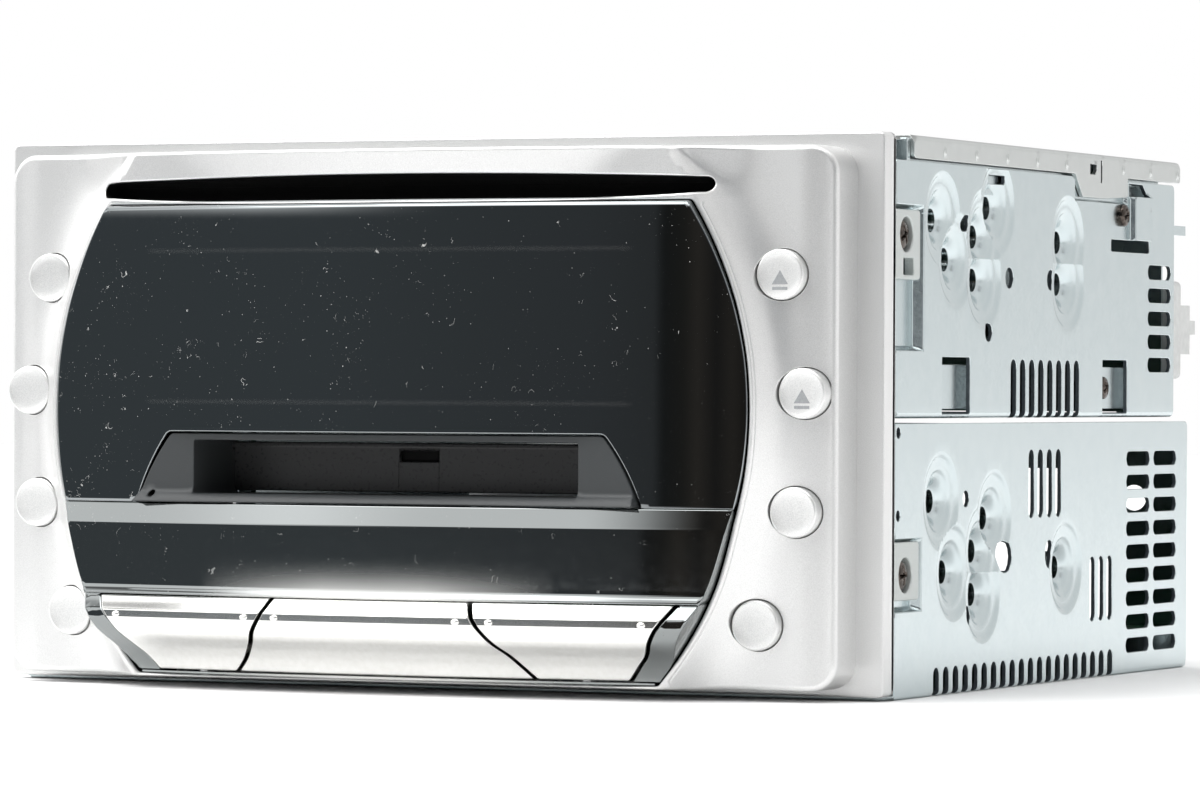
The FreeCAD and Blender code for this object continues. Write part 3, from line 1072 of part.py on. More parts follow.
# ================================================================ CARTRIDGE DRIVE (lower deck)
bz, mh = D("md_plate_z"), D("md_drive_half")
p = Piece("md_base")
p.box(-mh, mh, 8.0, 100.0, bz, bz + 1.0)
p.boxes([(mh - 1.0, mh, 8.0, 100.0), (-mh, 1.0 - mh, 8.0, 100.0)], bz, 46.6)
p.cyl("Z", 0, D("md_center_y"), 9.2, 20, 25, cut=True)
p.box(-20.0, 27.0, 54.0, 82.0, 20, 25, cut=True)
p.boxes([(-20.0, 27.0, 51.0, 53.0), (-20.0, 27.0, 83.0, 85.0)], bz + 0.5, 31.6)
mx, mrz = D("md_rod_x"), D("md_rod_z")
p.cyls("Y", [(-mx, mrz, 1.0), (mx, mrz, 1.0)], 50, 86, cut=True)
p.cyl("Y", 24.0, mrz, 0.8 + D("running_gap"), 50, 86, cut=True)
p.boxes([(-41.9, -36.0, 20.0, 26.0), (36.0, 41.9, 20.0, 26.0), (-41.9, -36.0, 88.0, 94.0), (36.0, 41.9, 88.0, 94.0)], mz + 1.6, bz + 0.1)

p = Piece("md_holder")
hh, hl, hz = D("holder_half"), D("holder_low"), D("holder_high")
p.run(Sketch(p, "XZ", 9.0).rect(-hh - 0.6, hh + 0.6, hl, hz), 9.0, 74.0)
p.run(Sketch(p, "XZ", 5.0).rect(-hh, hh, hl + 0.6, hz - 0.6), 5.0, 80.0, cut=True)
p.run(Sketch(p, "XY", 30).rect(-14.0, 14.0, 28.0, 90.0), 30, 40, cut=True)
p.run(Sketch(p, "XY", 40).rect(-20.0, 20.0, 30.0, 60.0), 40, 50, cut=True)
p = Piece("md_spindle_motor")
p.cyl("Z", 0, D("md_center_y"), 8.8, 20.4, 28.0)
p.cyl("Z", 0, D("md_center_y"), 10.6, bz + 1.0, bz + 2.0)
p.box(-11.0, 11.0, 50.9, 53.0, bz + 0.9, bz + 2.1, cut=True)
p.cyl("Z", 0, D("md_center_y"), 0.75 + D("running_gap"), 22.4, 30.0, cut=True)
p = Piece("md_spindle")
p.cyl("Z", 0, D("md_center_y"), 0.75, 22.8, 29.6)
p.cyl("Z", 0, D("md_center_y"), 6.0, 28.9, 31.0)
p.cyl("Z", 0, D("md_center_y"), 2.6, 30.9, 32.2)
p = Piece("md_guide_rods")
p.cyls("Y", [(-mx, mrz, 1.0), (mx, mrz, 1.0)], 51.0, 85.0)
p = Piece("md_pickup")
p.box(-19.0, 19.0, 54.0, 66.0, 26.6, 31.2)
p.cyls("Y", [(-mx, mrz, 1.0 + D("running_gap")), (mx, mrz, 1.0 + D("running_gap"))], 50, 70, cut=True)
p.box(18.9, 22.4, 56.0, 64.0, 28.0, 30.0)
p.cyl("Z", 0, 60.0, 2.6, 31.1, 32.4)
p = Piece("md_lead_screw")
p.cyl("Y", 24.0, mrz, 0.8, 51.2, 86.6)
p.cyl("Y", 24.0, mrz, 1.2, 53.6, 82.4)
s = Sketch(p, "YZ", 24.0)
f = p.body.newObject("PartDesign::Groove", "md_screw_thread")
s.poly([(54.6, 29.0 + 0.95), (55.5, 29.0 + 1.45), (53.7, 29.0 + 1.45)])
s.obj.addGeometry(Part.LineSegment(V(50, 29.0, 0), V(86, 29.0, 0)), True)
f.Profile = (s.obj, [""])
f.ReferenceAxis = (s.obj, ["Axis0"])
f.Angle = 360
doc.recompute()
p.pattern(f, s, "H_Axis", 2.0, 14)

# ---------------------------------------------------------------- checks and export
doc.recompute()
for obj in doc.Objects:
    bad = [s for s in obj.State if s in ("Invalid", "Error")]
    if bad:
        raise RuntimeError("%s is %s" % (obj.Label, bad))
for obj in pieces:
    if obj.Shape.isNull() or not obj.Shape.isValid() or not obj.Shape.Solids:
        raise RuntimeError(obj.Label + " has no valid solid")
os.makedirs("parts", exist_ok=True)
box = FreeCAD.BoundBox()
for obj in pieces:
    obj.Shape.exportStep("parts/%s.step" % obj.Label)
    box.add(obj.Shape.BoundBox)
    print("%-20s solids %2d  volume %9.1f" % (obj.Label, len(obj.Shape.Solids), obj.Shape.Volume))
print(len(pieces), "sub-parts", box)
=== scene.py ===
import json
import math

import bpy
import numpy as np
from mathutils import Matrix, Vector, kdtree
from mathutils.geometry import delaunay_2d_cdt


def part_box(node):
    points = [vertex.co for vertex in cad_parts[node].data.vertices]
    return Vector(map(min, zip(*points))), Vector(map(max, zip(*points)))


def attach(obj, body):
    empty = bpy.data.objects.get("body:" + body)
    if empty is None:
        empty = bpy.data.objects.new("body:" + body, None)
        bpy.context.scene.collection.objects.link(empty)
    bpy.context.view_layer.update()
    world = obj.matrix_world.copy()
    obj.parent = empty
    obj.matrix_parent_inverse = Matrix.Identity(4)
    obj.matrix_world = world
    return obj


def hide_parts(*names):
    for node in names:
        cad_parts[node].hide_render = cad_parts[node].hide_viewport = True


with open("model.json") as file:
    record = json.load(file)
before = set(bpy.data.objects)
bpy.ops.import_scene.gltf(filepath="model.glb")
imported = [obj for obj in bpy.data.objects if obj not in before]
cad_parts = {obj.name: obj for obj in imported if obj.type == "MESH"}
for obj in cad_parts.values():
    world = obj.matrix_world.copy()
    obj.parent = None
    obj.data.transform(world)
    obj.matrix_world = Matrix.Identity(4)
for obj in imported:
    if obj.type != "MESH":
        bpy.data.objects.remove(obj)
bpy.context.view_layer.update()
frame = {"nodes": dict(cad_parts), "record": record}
nodes = frame["nodes"]
scene = bpy.context.scene
YS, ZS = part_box("front_frame")[0].y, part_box("front_frame")[0].z
rng = np.random.default_rng(7)


# ---------------------------------------------------------------- materials
def material(name, color, rough, metal=0.0, **more):
    m = bpy.data.materials.new(name)
    m.use_nodes = True
    b = m.node_tree.nodes["Principled BSDF"]
    b.inputs["Base Color"].default_value = (*color, 1)
    b.inputs["Roughness"].default_value = rough
    b.inputs["Metallic"].default_value = metal
    for key, value in more.items():
        b.inputs[key.replace("_", " ")].default_value = value
    return m


def nd(m, kind, **props):
    n = m.node_tree.nodes.new(kind)
    for key, value in props.items():
        if key in n.inputs:
            n.inputs[key].default_value = value
        else:
            setattr(n, key, value)
    return n


def link(m, a, b):
    m.node_tree.links.new(a, b)


def bsdf(m):
    return m.node_tree.nodes["Principled BSDF"]


def grain(m, scale, strength, distance=0.0002, detail=4.0):
    """A fine bump from noise in object space, in metres."""
    co = nd(m, "ShaderNodeTexCoord")
    n = nd(m, "ShaderNodeTexNoise", Scale=scale, Detail=detail)
    link(m, co.outputs["Object"], n.inputs["Vector"])
    b = nd(m, "ShaderNodeBump", Strength=strength, Distance=distance)
    link(m, n.outputs["Fac"], b.inputs["Height"])
    link(m, b.outputs["Normal"], bsdf(m).inputs["Normal"])
    return n


def vary(m, scale, low, high, socket="Roughness", detail=3.0, spread=(0.35, 0.65)):
    """Noise drives a number between low and high."""
    co = nd(m, "ShaderNodeTexCoord")
    n = nd(m, "ShaderNodeTexNoise", Scale=scale, Detail=detail)
    link(m, co.outputs["Object"], n.inputs["Vector"])
    r = nd(m, "ShaderNodeMapRange")
    r.inputs["From Min"].default_value, r.inputs["From Max"].default_value = spread
    r.inputs["To Min"].default_value, r.inputs["To Max"].default_value = low, high
    link(m, n.outputs["Fac"], r.inputs["Value"])
    link(m, r.outputs["Result"], bsdf(m).inputs[socket])


def tint(m, scale, a, b, detail=3.0, spread=(0.35, 0.65)):
    """Noise mixes two colours."""
    co = nd(m, "ShaderNodeTexCoord")
    n = nd(m, "ShaderNodeTexNoise", Scale=scale, Detail=detail)
    link(m, co.outputs["Object"], n.inputs["Vector"])
    r = nd(m, "ShaderNodeValToRGB")
    r.color_ramp.elements[0].position, r.color_ramp.elements[1].position = spread
    r.color_ramp.elements[0].color, r.color_ramp.elements[1].color = (*a, 1), (*b, 1)
    link(m, n.outputs["Fac"], r.inputs["Fac"])
    link(m, r.outputs["Color"], bsdf(m).inputs["Base Color"])


silver = material("silver_paint", (0.80, 0.80, 0.79), 0.36, 0.80)
tint(silver, 7000.0, (0.72, 0.72, 0.715), (0.84, 0.84, 0.835), 1.0, (0.3, 0.7))
grain(silver, 5200.0, 0.12, 0.00008, 1.0)
silver_button = material("silver_button", (0.72, 0.725, 0.72), 0.34, 0.75)
tint(silver_button, 7600.0, (0.70, 0.705, 0.70), (0.88, 0.88, 0.87), 1.0, (0.3, 0.7))
grain(silver_button, 6000.0, 0.3, 0.0001, 1.0)
tab_paint = material("tab_paint", (0.60, 0.60, 0.575), 0.42, 0.45)
tint(tab_paint, 5000.0, (0.51, 0.54, 0.53), (0.60, 0.63, 0.615), 1.0)
matte_black = material("black_matte", (0.010, 0.010, 0.010), 0.85, Specular_IOR_Level=0.15)
vary(matte_black, 3000.0, 0.8, 0.95)
dark_grey = material("dark_grey", (0.040, 0.044, 0.046), 0.46, Specular_IOR_Level=0.4)
grain(dark_grey, 6000.0, 0.3, 0.0001, 2.0)
door_black = material("door_black", (0.046, 0.046, 0.047), 0.3, Specular_IOR_Level=0.35)
vary(door_black, 1400.0, 0.26, 0.36)
chrome = material("chrome", (0.90, 0.905, 0.90), 0.12, 1.0)
tint(chrome, 900.0, (0.88, 0.875, 0.85), (0.92, 0.915, 0.895), 2.0)
galv = material("galvanised", (0.59, 0.66, 0.67), 0.22, 1.0)
tint(galv, 300.0, (0.575, 0.645, 0.66), (0.605, 0.67, 0.68), 4.0, (0.25, 0.75))
vary(galv, 1200.0, 0.20, 0.25)
galv_warm = material("galvanised_cover", (0.61, 0.63, 0.62), 0.3, 1.0)
tint(galv_warm, 300.0, (0.595, 0.615, 0.605), (0.625, 0.645, 0.635), 4.0, (0.25, 0.75))
vary(galv_warm, 1200.0, 0.28, 0.33)
# painted shade: the top of the cover is coloured darker than its flanges
place_ = nd(galv_warm, "ShaderNodeNewGeometry")
parts_ = nd(galv_warm, "ShaderNodeSeparateXYZ")
link(galv_warm, place_.outputs["Position"], parts_.inputs[0])
painted_top_shade_ = nd(galv_warm, "ShaderNodeMapRange")
link(galv_warm, parts_.outputs["Z"], painted_top_shade_.inputs["Value"])
painted_top_shade_.inputs["From Min"].default_value, painted_top_shade_.inputs["From Max"].default_value = 0.1008, 0.1012
painted_top_shade_.inputs["To Min"].default_value, painted_top_shade_.inputs["To Max"].default_value = 1.0, 0.62
shade_ = nd(galv_warm, "ShaderNodeVectorMath", operation="SCALE")
base_ = bsdf(galv_warm).inputs["Base Color"]
link(galv_warm, base_.links[0].from_socket, shade_.inputs[0])
link(galv_warm, painted_top_shade_.outputs["Result"], shade_.inputs["Scale"])
link(galv_warm, shade_.outputs[0], base_)
sheared = material("sheared_edge", (0.13, 0.15, 0.165), 0.5, 1.0)
vary(sheared, 1500.0, 0.6, 0.8)


def half_mirror(name, color, rough, dust, window=(), floor_glow=0.0):
    """Smoked acrylic with a thin metal coat, and a little dust on it; the last argument adds a painted reflection of
    the floor towards its foot.
    """
    m = material(name, color, rough, 1.0)
    vary(m, 600.0, rough * 0.8, rough * 1.2)
    co = nd(m, "ShaderNodeTexCoord")

    def math_(op, a, b=None, clamp=False):
        n = nd(m, "ShaderNodeMath", operation=op)
        n.use_clamp = clamp
        for i, v in enumerate((a, b)):
            if v is None:
                continue
            if isinstance(v, (int, float)):
                n.inputs[i].default_value = v
            else:
                link(m, v, n.inputs[i])
        return n.outputs[0]

    sep = nd(m, "ShaderNodeSeparateXYZ")
    link(m, co.outputs["Object"], sep.inputs[0])
    flat_ = nd(m, "ShaderNodeCombineXYZ")
    link(m, sep.outputs["X"], flat_.inputs["X"])
    link(m, sep.outputs["Z"], flat_.inputs["Y"])
    # more specks towards the left end
    left_ = math_("MULTIPLY_ADD", sep.outputs["X"], -4.5)
    left_.node.inputs[2].default_value = 0.45
    cloud = nd(m, "ShaderNodeTexNoise", Scale=75.0, Detail=2.0)
    cloud.noise_dimensions = "2D"
    link(m, flat_.outputs[0], cloud.inputs["Vector"])
    heap = nd(m, "ShaderNodeMapRange", interpolation_type="SMOOTHSTEP")
    link(m, cloud.outputs["Fac"], heap.inputs["Value"])
    heap.inputs["From Min"].default_value, heap.inputs["From Max"].default_value = 0.42, 0.72
    heap.inputs["To Min"].default_value, heap.inputs["To Max"].default_value = 0.25, 2.4
    left_ = math_("MULTIPLY", left_, heap.outputs["Result"])
    total = None
    for scale, size, share in ((620.0, 0.08, 0.030), (1500.0, 0.17, 0.05), (2300.0, 0.2, 0.06)):
        v = nd(m, "ShaderNodeTexVoronoi", Scale=scale)
        v.voronoi_dimensions = "2D"
        link(m, flat_.outputs[0], v.inputs["Vector"])
        pick = nd(m, "ShaderNodeSeparateColor")
        link(m, v.outputs["Color"], pick.inputs[0])
        few = math_("LESS_THAN", pick.outputs["Red"], math_("MULTIPLY", left_, share * 1.6))
        radius = math_("MULTIPLY", pick.outputs["Green"], size)
        dot = math_("LESS_THAN", v.outputs["Distance"], radius)
        level = math_("MULTIPLY_ADD", math_("POWER", pick.outputs["Blue"], 3.0), 0.85)
        level.node.inputs[2].default_value = 0.08
        one = math_("MULTIPLY", math_("MULTIPLY", dot, few), level)
        total = one if total is None else math_("MAXIMUM", total, one)
    # short curled fibres: level lines of a noise, kept only inside a few cells
    for scale, cell, share in ((420.0, 330.0, 0.035), (800.0, 480.0, 0.05)):
        nz = nd(m, "ShaderNodeTexNoise", Scale=scale, Detail=1.0)
        nz.noise_dimensions = "2D"
        link(m, flat_.outputs[0], nz.inputs["Vector"])
        off = math_("ABSOLUTE", math_("SUBTRACT", nz.outputs["Fac"], 0.5))
        line = math_("LESS_THAN", off, 0.008)
        v = nd(m, "ShaderNodeTexVoronoi", Scale=cell)
        v.voronoi_dimensions = "2D"
        link(m, flat_.outputs[0], v.inputs["Vector"])
        pick = nd(m, "ShaderNodeSeparateColor")
        link(m, v.outputs["Color"], pick.inputs[0])
        few = math_("LESS_THAN", pick.outputs["Red"], math_("MULTIPLY", left_, share * 2.2))
        dot = math_("LESS_THAN", v.outputs["Distance"], 0.26)
        one = math_("MULTIPLY", math_("MULTIPLY", math_("MULTIPLY", dot, few), line), 0.8)
        total = math_("MAXIMUM", total, one)
    total = math_("MULTIPLY", total, dust, True)
    # the edges of the display behind, just showing
    for z0 in window:
        off = math_("ABSOLUTE", math_("SUBTRACT", sep.outputs["Z"], z0))
        near_ = math_("SUBTRACT", 1.0, math_("MULTIPLY", off, 1 / 0.0006), True)
        ends = math_("MULTIPLY", math_("SUBTRACT", 0.0495, math_("ABSOLUTE", sep.outputs["X"])), 500.0, True)
        total = math_("MAXIMUM", total, math_("MULTIPLY", math_("MULTIPLY", near_, ends), 0.016))
    if floor_glow:
        # painted reflection: a glow of the white floor towards the foot, brightest in the middle, mixed in as diffuse
        # white
        rise = math_("MULTIPLY", math_("SUBTRACT", 0.0262, sep.outputs["Z"]), 1 / 0.0088, True)
        wide = math_("MULTIPLY", math_("SUBTRACT", 0.036, math_("ABSOLUTE", sep.outputs["X"])), 1 / 0.026, True)
        film = math_("MULTIPLY", math_("POWER", rise, 3.1), math_("MULTIPLY", wide, floor_glow))
        total = math_("MAXIMUM", total, film)
    mixed = nd(m, "ShaderNodeMixShader")
    speck = nd(m, "ShaderNodeBsdfDiffuse")
    speck.inputs["Color"].default_value = (0.8, 0.8, 0.78, 1)
    link(m, total, mixed.inputs["Fac"])
    link(m, bsdf(m).outputs[0], mixed.inputs[1])
    link(m, speck.outputs[0], mixed.inputs[2])
    out = [n for n in m.node_tree.nodes if n.type == "OUTPUT_MATERIAL"][0]
    link(m, mixed.outputs[0], out.inputs["Surface"])
    return m


gloss = half_mirror("black_gloss", (0.27, 0.287, 0.293), 0.035, 0.6, (0.08035, 0.05275))
# the lower lens gets a painted floor reflection at its foot from the last argument
gloss_low = half_mirror("black_gloss_lower", (0.27, 0.285, 0.285), 0.045, 0.4, (), 1.0)
steel = material("steel", (0.62, 0.62, 0.62), 0.3, 1.0)
vary(steel, 900.0, 0.25, 0.36)
bronze = material("screw_bronze", (0.11, 0.09, 0.08), 0.2, 1.0)
tint(bronze, 1800.0, (0.05, 0.042, 0.036), (0.13, 0.108, 0.095), 2.0)
pcb = material("circuit_board", (0.01, 0.07, 0.03), 0.35)
tint(pcb, 500.0, (0.009, 0.06, 0.025), (0.012, 0.08, 0.035))
felt = material("felt", (0.008, 0.008, 0.008), 0.95)
grain(felt, 4000.0, 0.6, 0.0002)
display = material("display_glass", (0.02, 0.03, 0.035), 0.08)
vary(display, 400.0, 0.06, 0.1)
film = material("film", (0.55, 0.5, 0.36), 0.35)
vary(film, 700.0, 0.3, 0.4)
nylon = material("natural_nylon", (0.62, 0.63, 0.62), 0.4)
tint(nylon, 700.0, (0.59, 0.60, 0.59), (0.65, 0.66, 0.65))
alu = material("aluminium", (0.55, 0.56, 0.57), 0.38, 1.0)
vary(alu, 900.0, 0.33, 0.43)
rubber = material("rubber", (0.015, 0.015, 0.015), 0.7)
vary(rubber, 1500.0, 0.65, 0.8)
gear_white = material("gear_white", (0.72, 0.72, 0.68), 0.45)
tint(gear_white, 900.0, (0.69, 0.69, 0.65), (0.75, 0.75, 0.71))
can = material("motor_can", (0.55, 0.55, 0.55), 0.3, 1.0)
vary(can, 900.0, 0.25, 0.36)
sleeve = material("capacitor_sleeve", (0.02, 0.025, 0.09), 0.3)
vary(sleeve, 900.0, 0.25, 0.36)
brass = material("brass", (0.7, 0.5, 0.2), 0.3, 1.0)
vary(brass, 900.0, 0.25, 0.36)
print_soft = material("print_soft", (0.30, 0.31, 0.32), 0.5)
tint(print_soft, 3000.0, (0.27, 0.28, 0.29), (0.34, 0.35, 0.36))
ink = material("print_grey", (0.16, 0.165, 0.17), 0.5)
vary(ink, 2000.0, 0.45, 0.55)
ink_light = material("print_light", (0.42, 0.43, 0.43), 0.5)
vary(ink_light, 2000.0, 0.45, 0.55)

BY_SLOT = {"silver_paint": silver, "black_gloss": gloss, "black_matte": matte_black, "dark_grey": dark_grey, "chrome_plate": chrome,
           "galvanised": galv, "steel": steel, "screw_bronze": bronze, "circuit_board": pcb, "switch_black": matte_black, "display_glass": display,
           "felt": felt, "film": film, "natural_nylon": nylon, "aluminium": alu, "rubber": rubber, "white_gear": gear_white, "motor_can": can,
           "capacitor_sleeve": sleeve, "brass": brass}
for row in frame["record"]["subparts"]:
    me = nodes[row["node"]].data
    me.materials.clear()
    me.materials.append(BY_SLOT[row["material_slot"]])


# ---------------------------------------------------------------- mesh helpers, in millimetres and design axes
class Mesh:
    """Collects vertices with their own normals, and faces."""

    def __init__(self):
        self.v, self.n, self.f, self.m, self.count = [], [], [], [], 0

    def add(self, verts, normals, faces, mat=0):
        verts, normals, faces = np.asarray(verts, float), np.asarray(normals, float), np.asarray(faces, int)
        if len(faces) == 0:
            return
        a = verts[faces[:, 1]] - verts[faces[:, 0]]
        b = verts[faces[:, 2]] - verts[faces[:, 1]]
        if faces.shape[1] == 4:
            a, b = verts[faces[:, 2]] - verts[faces[:, 0]], verts[faces[:, 3]] - verts[faces[:, 1]]
        flip = np.einsum("ij,ij->i", np.cross(a, b), normals[faces].mean(axis=1)) < 0
        faces = faces.copy()
        faces[flip] = faces[flip][:, ::-1]
        self.v.append(verts)
        self.n.append(normals)
        self.f.append(faces + self.count)
        self.m.append(np.full(len(faces), mat))
        self.count += len(verts)

    def mirrored(self):
        """Adds the mirror image across x = 0 of all that is there."""
        for v, n, f, m in list(zip(self.v, self.n, self.f, self.m)):
            base = f.min()
            k = np.array([-1, 1, 1.0])
            self.add(v * k, n * k, f - self._base(v), int(m[0]))

    def _base(self, v):
        at = 0
        for w in self.v:
            if w is v:
                return at
            at += len(w)
        return at

    def build(self, name, mats, body, replaces=(), slot=None):
        me = bpy.data.meshes.new(name)
        v, n = np.concatenate(self.v), np.concatenate(self.n)
        v = np.column_stack([v[:, 0] / 1000, v[:, 1] / 1000 + YS, v[:, 2] / 1000 + ZS])
        faces = [t for f in self.f for t in f.tolist()]
        me.from_pydata(v.tolist(), [], faces)
        for m in mats:
            me.materials.append(m)
        me.polygons.foreach_set("material_index", np.concatenate(self.m).astype(np.int32))
        me.polygons.foreach_set("use_smooth", np.ones(len(faces), bool))
        me.update()
        n = n / np.maximum(np.linalg.norm(n, axis=1, keepdims=True), 1e-12)
        me.normals_split_custom_set_from_vertices(n.tolist())
        o = bpy.data.objects.new(name, me)
        scene.collection.objects.link(o)
        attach(o, body)
        if replaces:
            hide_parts(*replaces)
        return o


def arc(cx, cy, r, a0, a1, n):
    t = np.radians(np.linspace(a0, a1, n))
    return np.column_stack([cx + r * np.cos(t), cy + r * np.sin(t)])


def area(p):
    p = np.asarray(p)
    q = np.roll(p, -1, axis=0)
    return 0.5 * np.sum(p[:, 0] * q[:, 1] - q[:, 0] * p[:, 1])


def turn(p, ccw):
    p = np.asarray(p, float)
    return p if (area(p) > 0) == ccw else p[::-1]


def clean(p, eps=1e-5):
    p = np.asarray(p, float)
    keep = np.linalg.norm(p - np.roll(p, 1, axis=0), axis=1) > eps
    return p[keep]


def resample(p, step):
    """Splits long segments of a closed loop, keeping its own points."""
    p = clean(p)
    out = []
    for a, b in zip(p, np.roll(p, -1, axis=0)):
        n = max(1, int(round(np.linalg.norm(b - a) / step)))
        out += [a + (b - a) * i / n for i in range(n)]
    return np.array(out)


def fillet(points, radii, seg=5):
    """A polygon with its corners rounded. radii is one number or one for each corner."""
    p = [np.array(q, float) for q in points]
    n = len(p)
    radii = [radii] * n if np.isscalar(radii) else radii
    out = []
    for i in range(n):
        a, b, c, r = p[i - 1], p[i], p[(i + 1) % n], radii[i]
        u, w = a - b, c - b
        lu, lw = np.linalg.norm(u), np.linalg.norm(w)
        u, w = u / lu, w / lw
        cosang = np.clip(np.dot(u, w), -1, 1)
        half = math.acos(cosang) / 2
        if r <= 0 or half > math.radians(88):
            out.append(b)
            continue
        d = min(r / math.tan(half), 0.49 * lu, 0.49 * lw)
        r = d * math.tan(half)
        c0 = b + (u + w) / np.linalg.norm(u + w) * r / math.sin(half)
        s, e = b + u * d - c0, b + w * d - c0
        a0, a1 = math.atan2(s[1], s[0]), math.atan2(e[1], e[0])
        da = (a1 - a0 + math.pi) % (2 * math.pi) - math.pi
        for k in range(seg + 1):
            t = a0 + da * k / seg
            out.append(c0 + r * np.array([math.cos(t), math.sin(t)]))
    return np.array(out)


def offset(p, d):
    """Moves a loop to its left by d, with mitred corners, and gives the outward (right) normals too."""
    e = np.roll(p, -1, axis=0) - p
    e /= np.maximum(np.linalg.norm(e, axis=1, keepdims=True), 1e-9)
    left = np.column_stack([-e[:, 1], e[:, 0]])
    prev = np.roll(left, 1, axis=0)
    dot = np.einsum("ij,ij->i", left, prev)
    m = (left + prev) / np.maximum(1 + dot, 0.35)[:, None]
    n = left + prev
    n /= np.maximum(np.linalg.norm(n, axis=1, keepdims=True), 1e-9)
    return p + m * np.asarray(d * np.ones(len(p)))[:, None], -n


def inside(loop, pts):
    """Which points lie inside a closed loop."""
    out = np.zeros(len(pts), bool)
    lo, hi = loop.min(0), loop.max(0)
    idx = np.nonzero(np.all((pts >= lo) & (pts <= hi), axis=1))[0]
    if not len(idx):
        return out
    q = pts[idx]
    res = np.zeros(len(q), bool)
    x, y = q[:, 0], q[:, 1]
    for (x0, y0), (x1, y1) in zip(loop, np.roll(loop, -1, axis=0)):
        if y0 == y1:
            continue
        c = ((y0 > y) != (y1 > y)) & (x < (x1 - x0) * (y - y0) / (y1 - y0) + x0)
        res ^= c
    out[idx] = res
    return out


def front_place(ab, h):
    return np.column_stack([ab[:, 0], -h, ab[:, 1]])


def side_place(ab, h):
    """a = y, b = z, h = x: the right side."""
    return np.column_stack([h, ab[:, 0], ab[:, 1]])


def surf_normals(ab, surf, place, e=0.03):
    a, b = np.array([[e, 0.0]]), np.array([[0.0, e]])
    pa = place(ab + a, surf(ab + a)) - place(ab - a, surf(ab - a))
    pb = place(ab + b, surf(ab + b)) - place(ab - b, surf(ab - b))
    n = np.cross(pa, pb)
    h = surf(ab)
    out = place(ab, h + 1) - place(ab, h)
    n *= np.sign(np.einsum("ij,ij->i", n, out))[:, None]
    return n / np.maximum(np.linalg.norm(n, axis=1, keepdims=True), 1e-12)


def strip(n, rings):
    """Quads between rings of n points each."""
    i = np.arange(n)
    j = (i + 1) % n
    return np.concatenate([np.column_stack([k * n + i, k * n + j, (k + 1) * n + j, (k + 1) * n + i]) for k in range(rings - 1)])


def rim(mesh, loop, surf, place, r, back, K=4, mat=0, wall_mat=None, wall_steps=2):
    """A rounded edge along a loop and the wall behind it. The material lies to the loop's left. Returns the innermost ring."""
    n = len(loop)
    r = np.asarray(r * np.ones(n))
    no = offset(loop, 0.0)[1]
    edge_h = None
    V, N = [], []
    ring = loop
    for k in range(K + 1):
        th = math.radians(90 * (1 - k / K))
        ring = offset(loop, r * (1 - math.sin(th)))[0]
        h = surf(ring) - r * (1 - math.cos(th))
        if k == 0:
            edge_h = h
        ns = surf_normals(ring, surf, place)
        side = place(loop + no * 0.05, edge_h) - place(loop, edge_h)
        side /= np.maximum(np.linalg.norm(side, axis=1, keepdims=True), 1e-12)
        V.append(place(ring, h))
        N.append(math.cos(th) * ns + math.sin(th) * side)
    mesh.add(np.concatenate(V), np.concatenate(N), strip(n, K + 1), mat)
    if back is not None:
        hb = back(loop) if callable(back) else np.full(n, float(back))
        W = [place(loop, edge_h + (hb - edge_h) * q / wall_steps) for q in range(wall_steps + 1)]
        mesh.add(np.concatenate(W), np.concatenate([side] * (wall_steps + 1)), strip(n, wall_steps + 1), mat if wall_mat is None else wall_mat)
    return ring


def grid_points(lo, hi, step):
    a = np.arange(lo[0] + step / 2, hi[0], step)
    b = np.arange(lo[1] + step / 2, hi[1], step * 0.866)
    A, B = np.meshgrid(a, b)
    A = A + (np.arange(len(b)) % 2)[:, None] * step / 2
    return np.column_stack([A.ravel(), B.ravel()])


def thin(pts, keep, dist):
    """Drops the points that lie within dist of the points in keep."""
    if len(pts) == 0 or len(keep) == 0:
        return pts
    tree = kdtree.KDTree(len(keep))
    for i, q in enumerate(keep):
        tree.insert((q[0], q[1], 0), i)
    tree.balance()
    ok = [tree.find((q[0], q[1], 0))[2] > dist for q in pts]
    return pts[np.array(ok, bool)]


def triangulate(outer, holes, free, lines=()):
    """Triangles of the region inside outer and outside the holes, through the free points."""
    pts, edges = [], []
    for loop in [outer, *holes]:
        s = len(pts)
        pts += loop.tolist()
        edges += [(s + i, s + (i + 1) % len(loop)) for i in range(len(loop))]
    for line in lines:
        s = len(pts)
        pts += np.asarray(line).tolist()
        edges += [(s + i, s + i + 1) for i in range(len(line) - 1)]
    pts += free.tolist()
    got = delaunay_2d_cdt([Vector(p) for p in pts], edges, [], 0, 1e-5)
    v = np.array([tuple(q) for q in got[0]], float)
    f = np.array([t for t in got[2] if len(t) == 3], int)
    c = v[f].mean(axis=1)
    ok = inside(outer, c)
    for hole in holes:
        ok &= ~inside(hole, c)
    return v, f[ok]


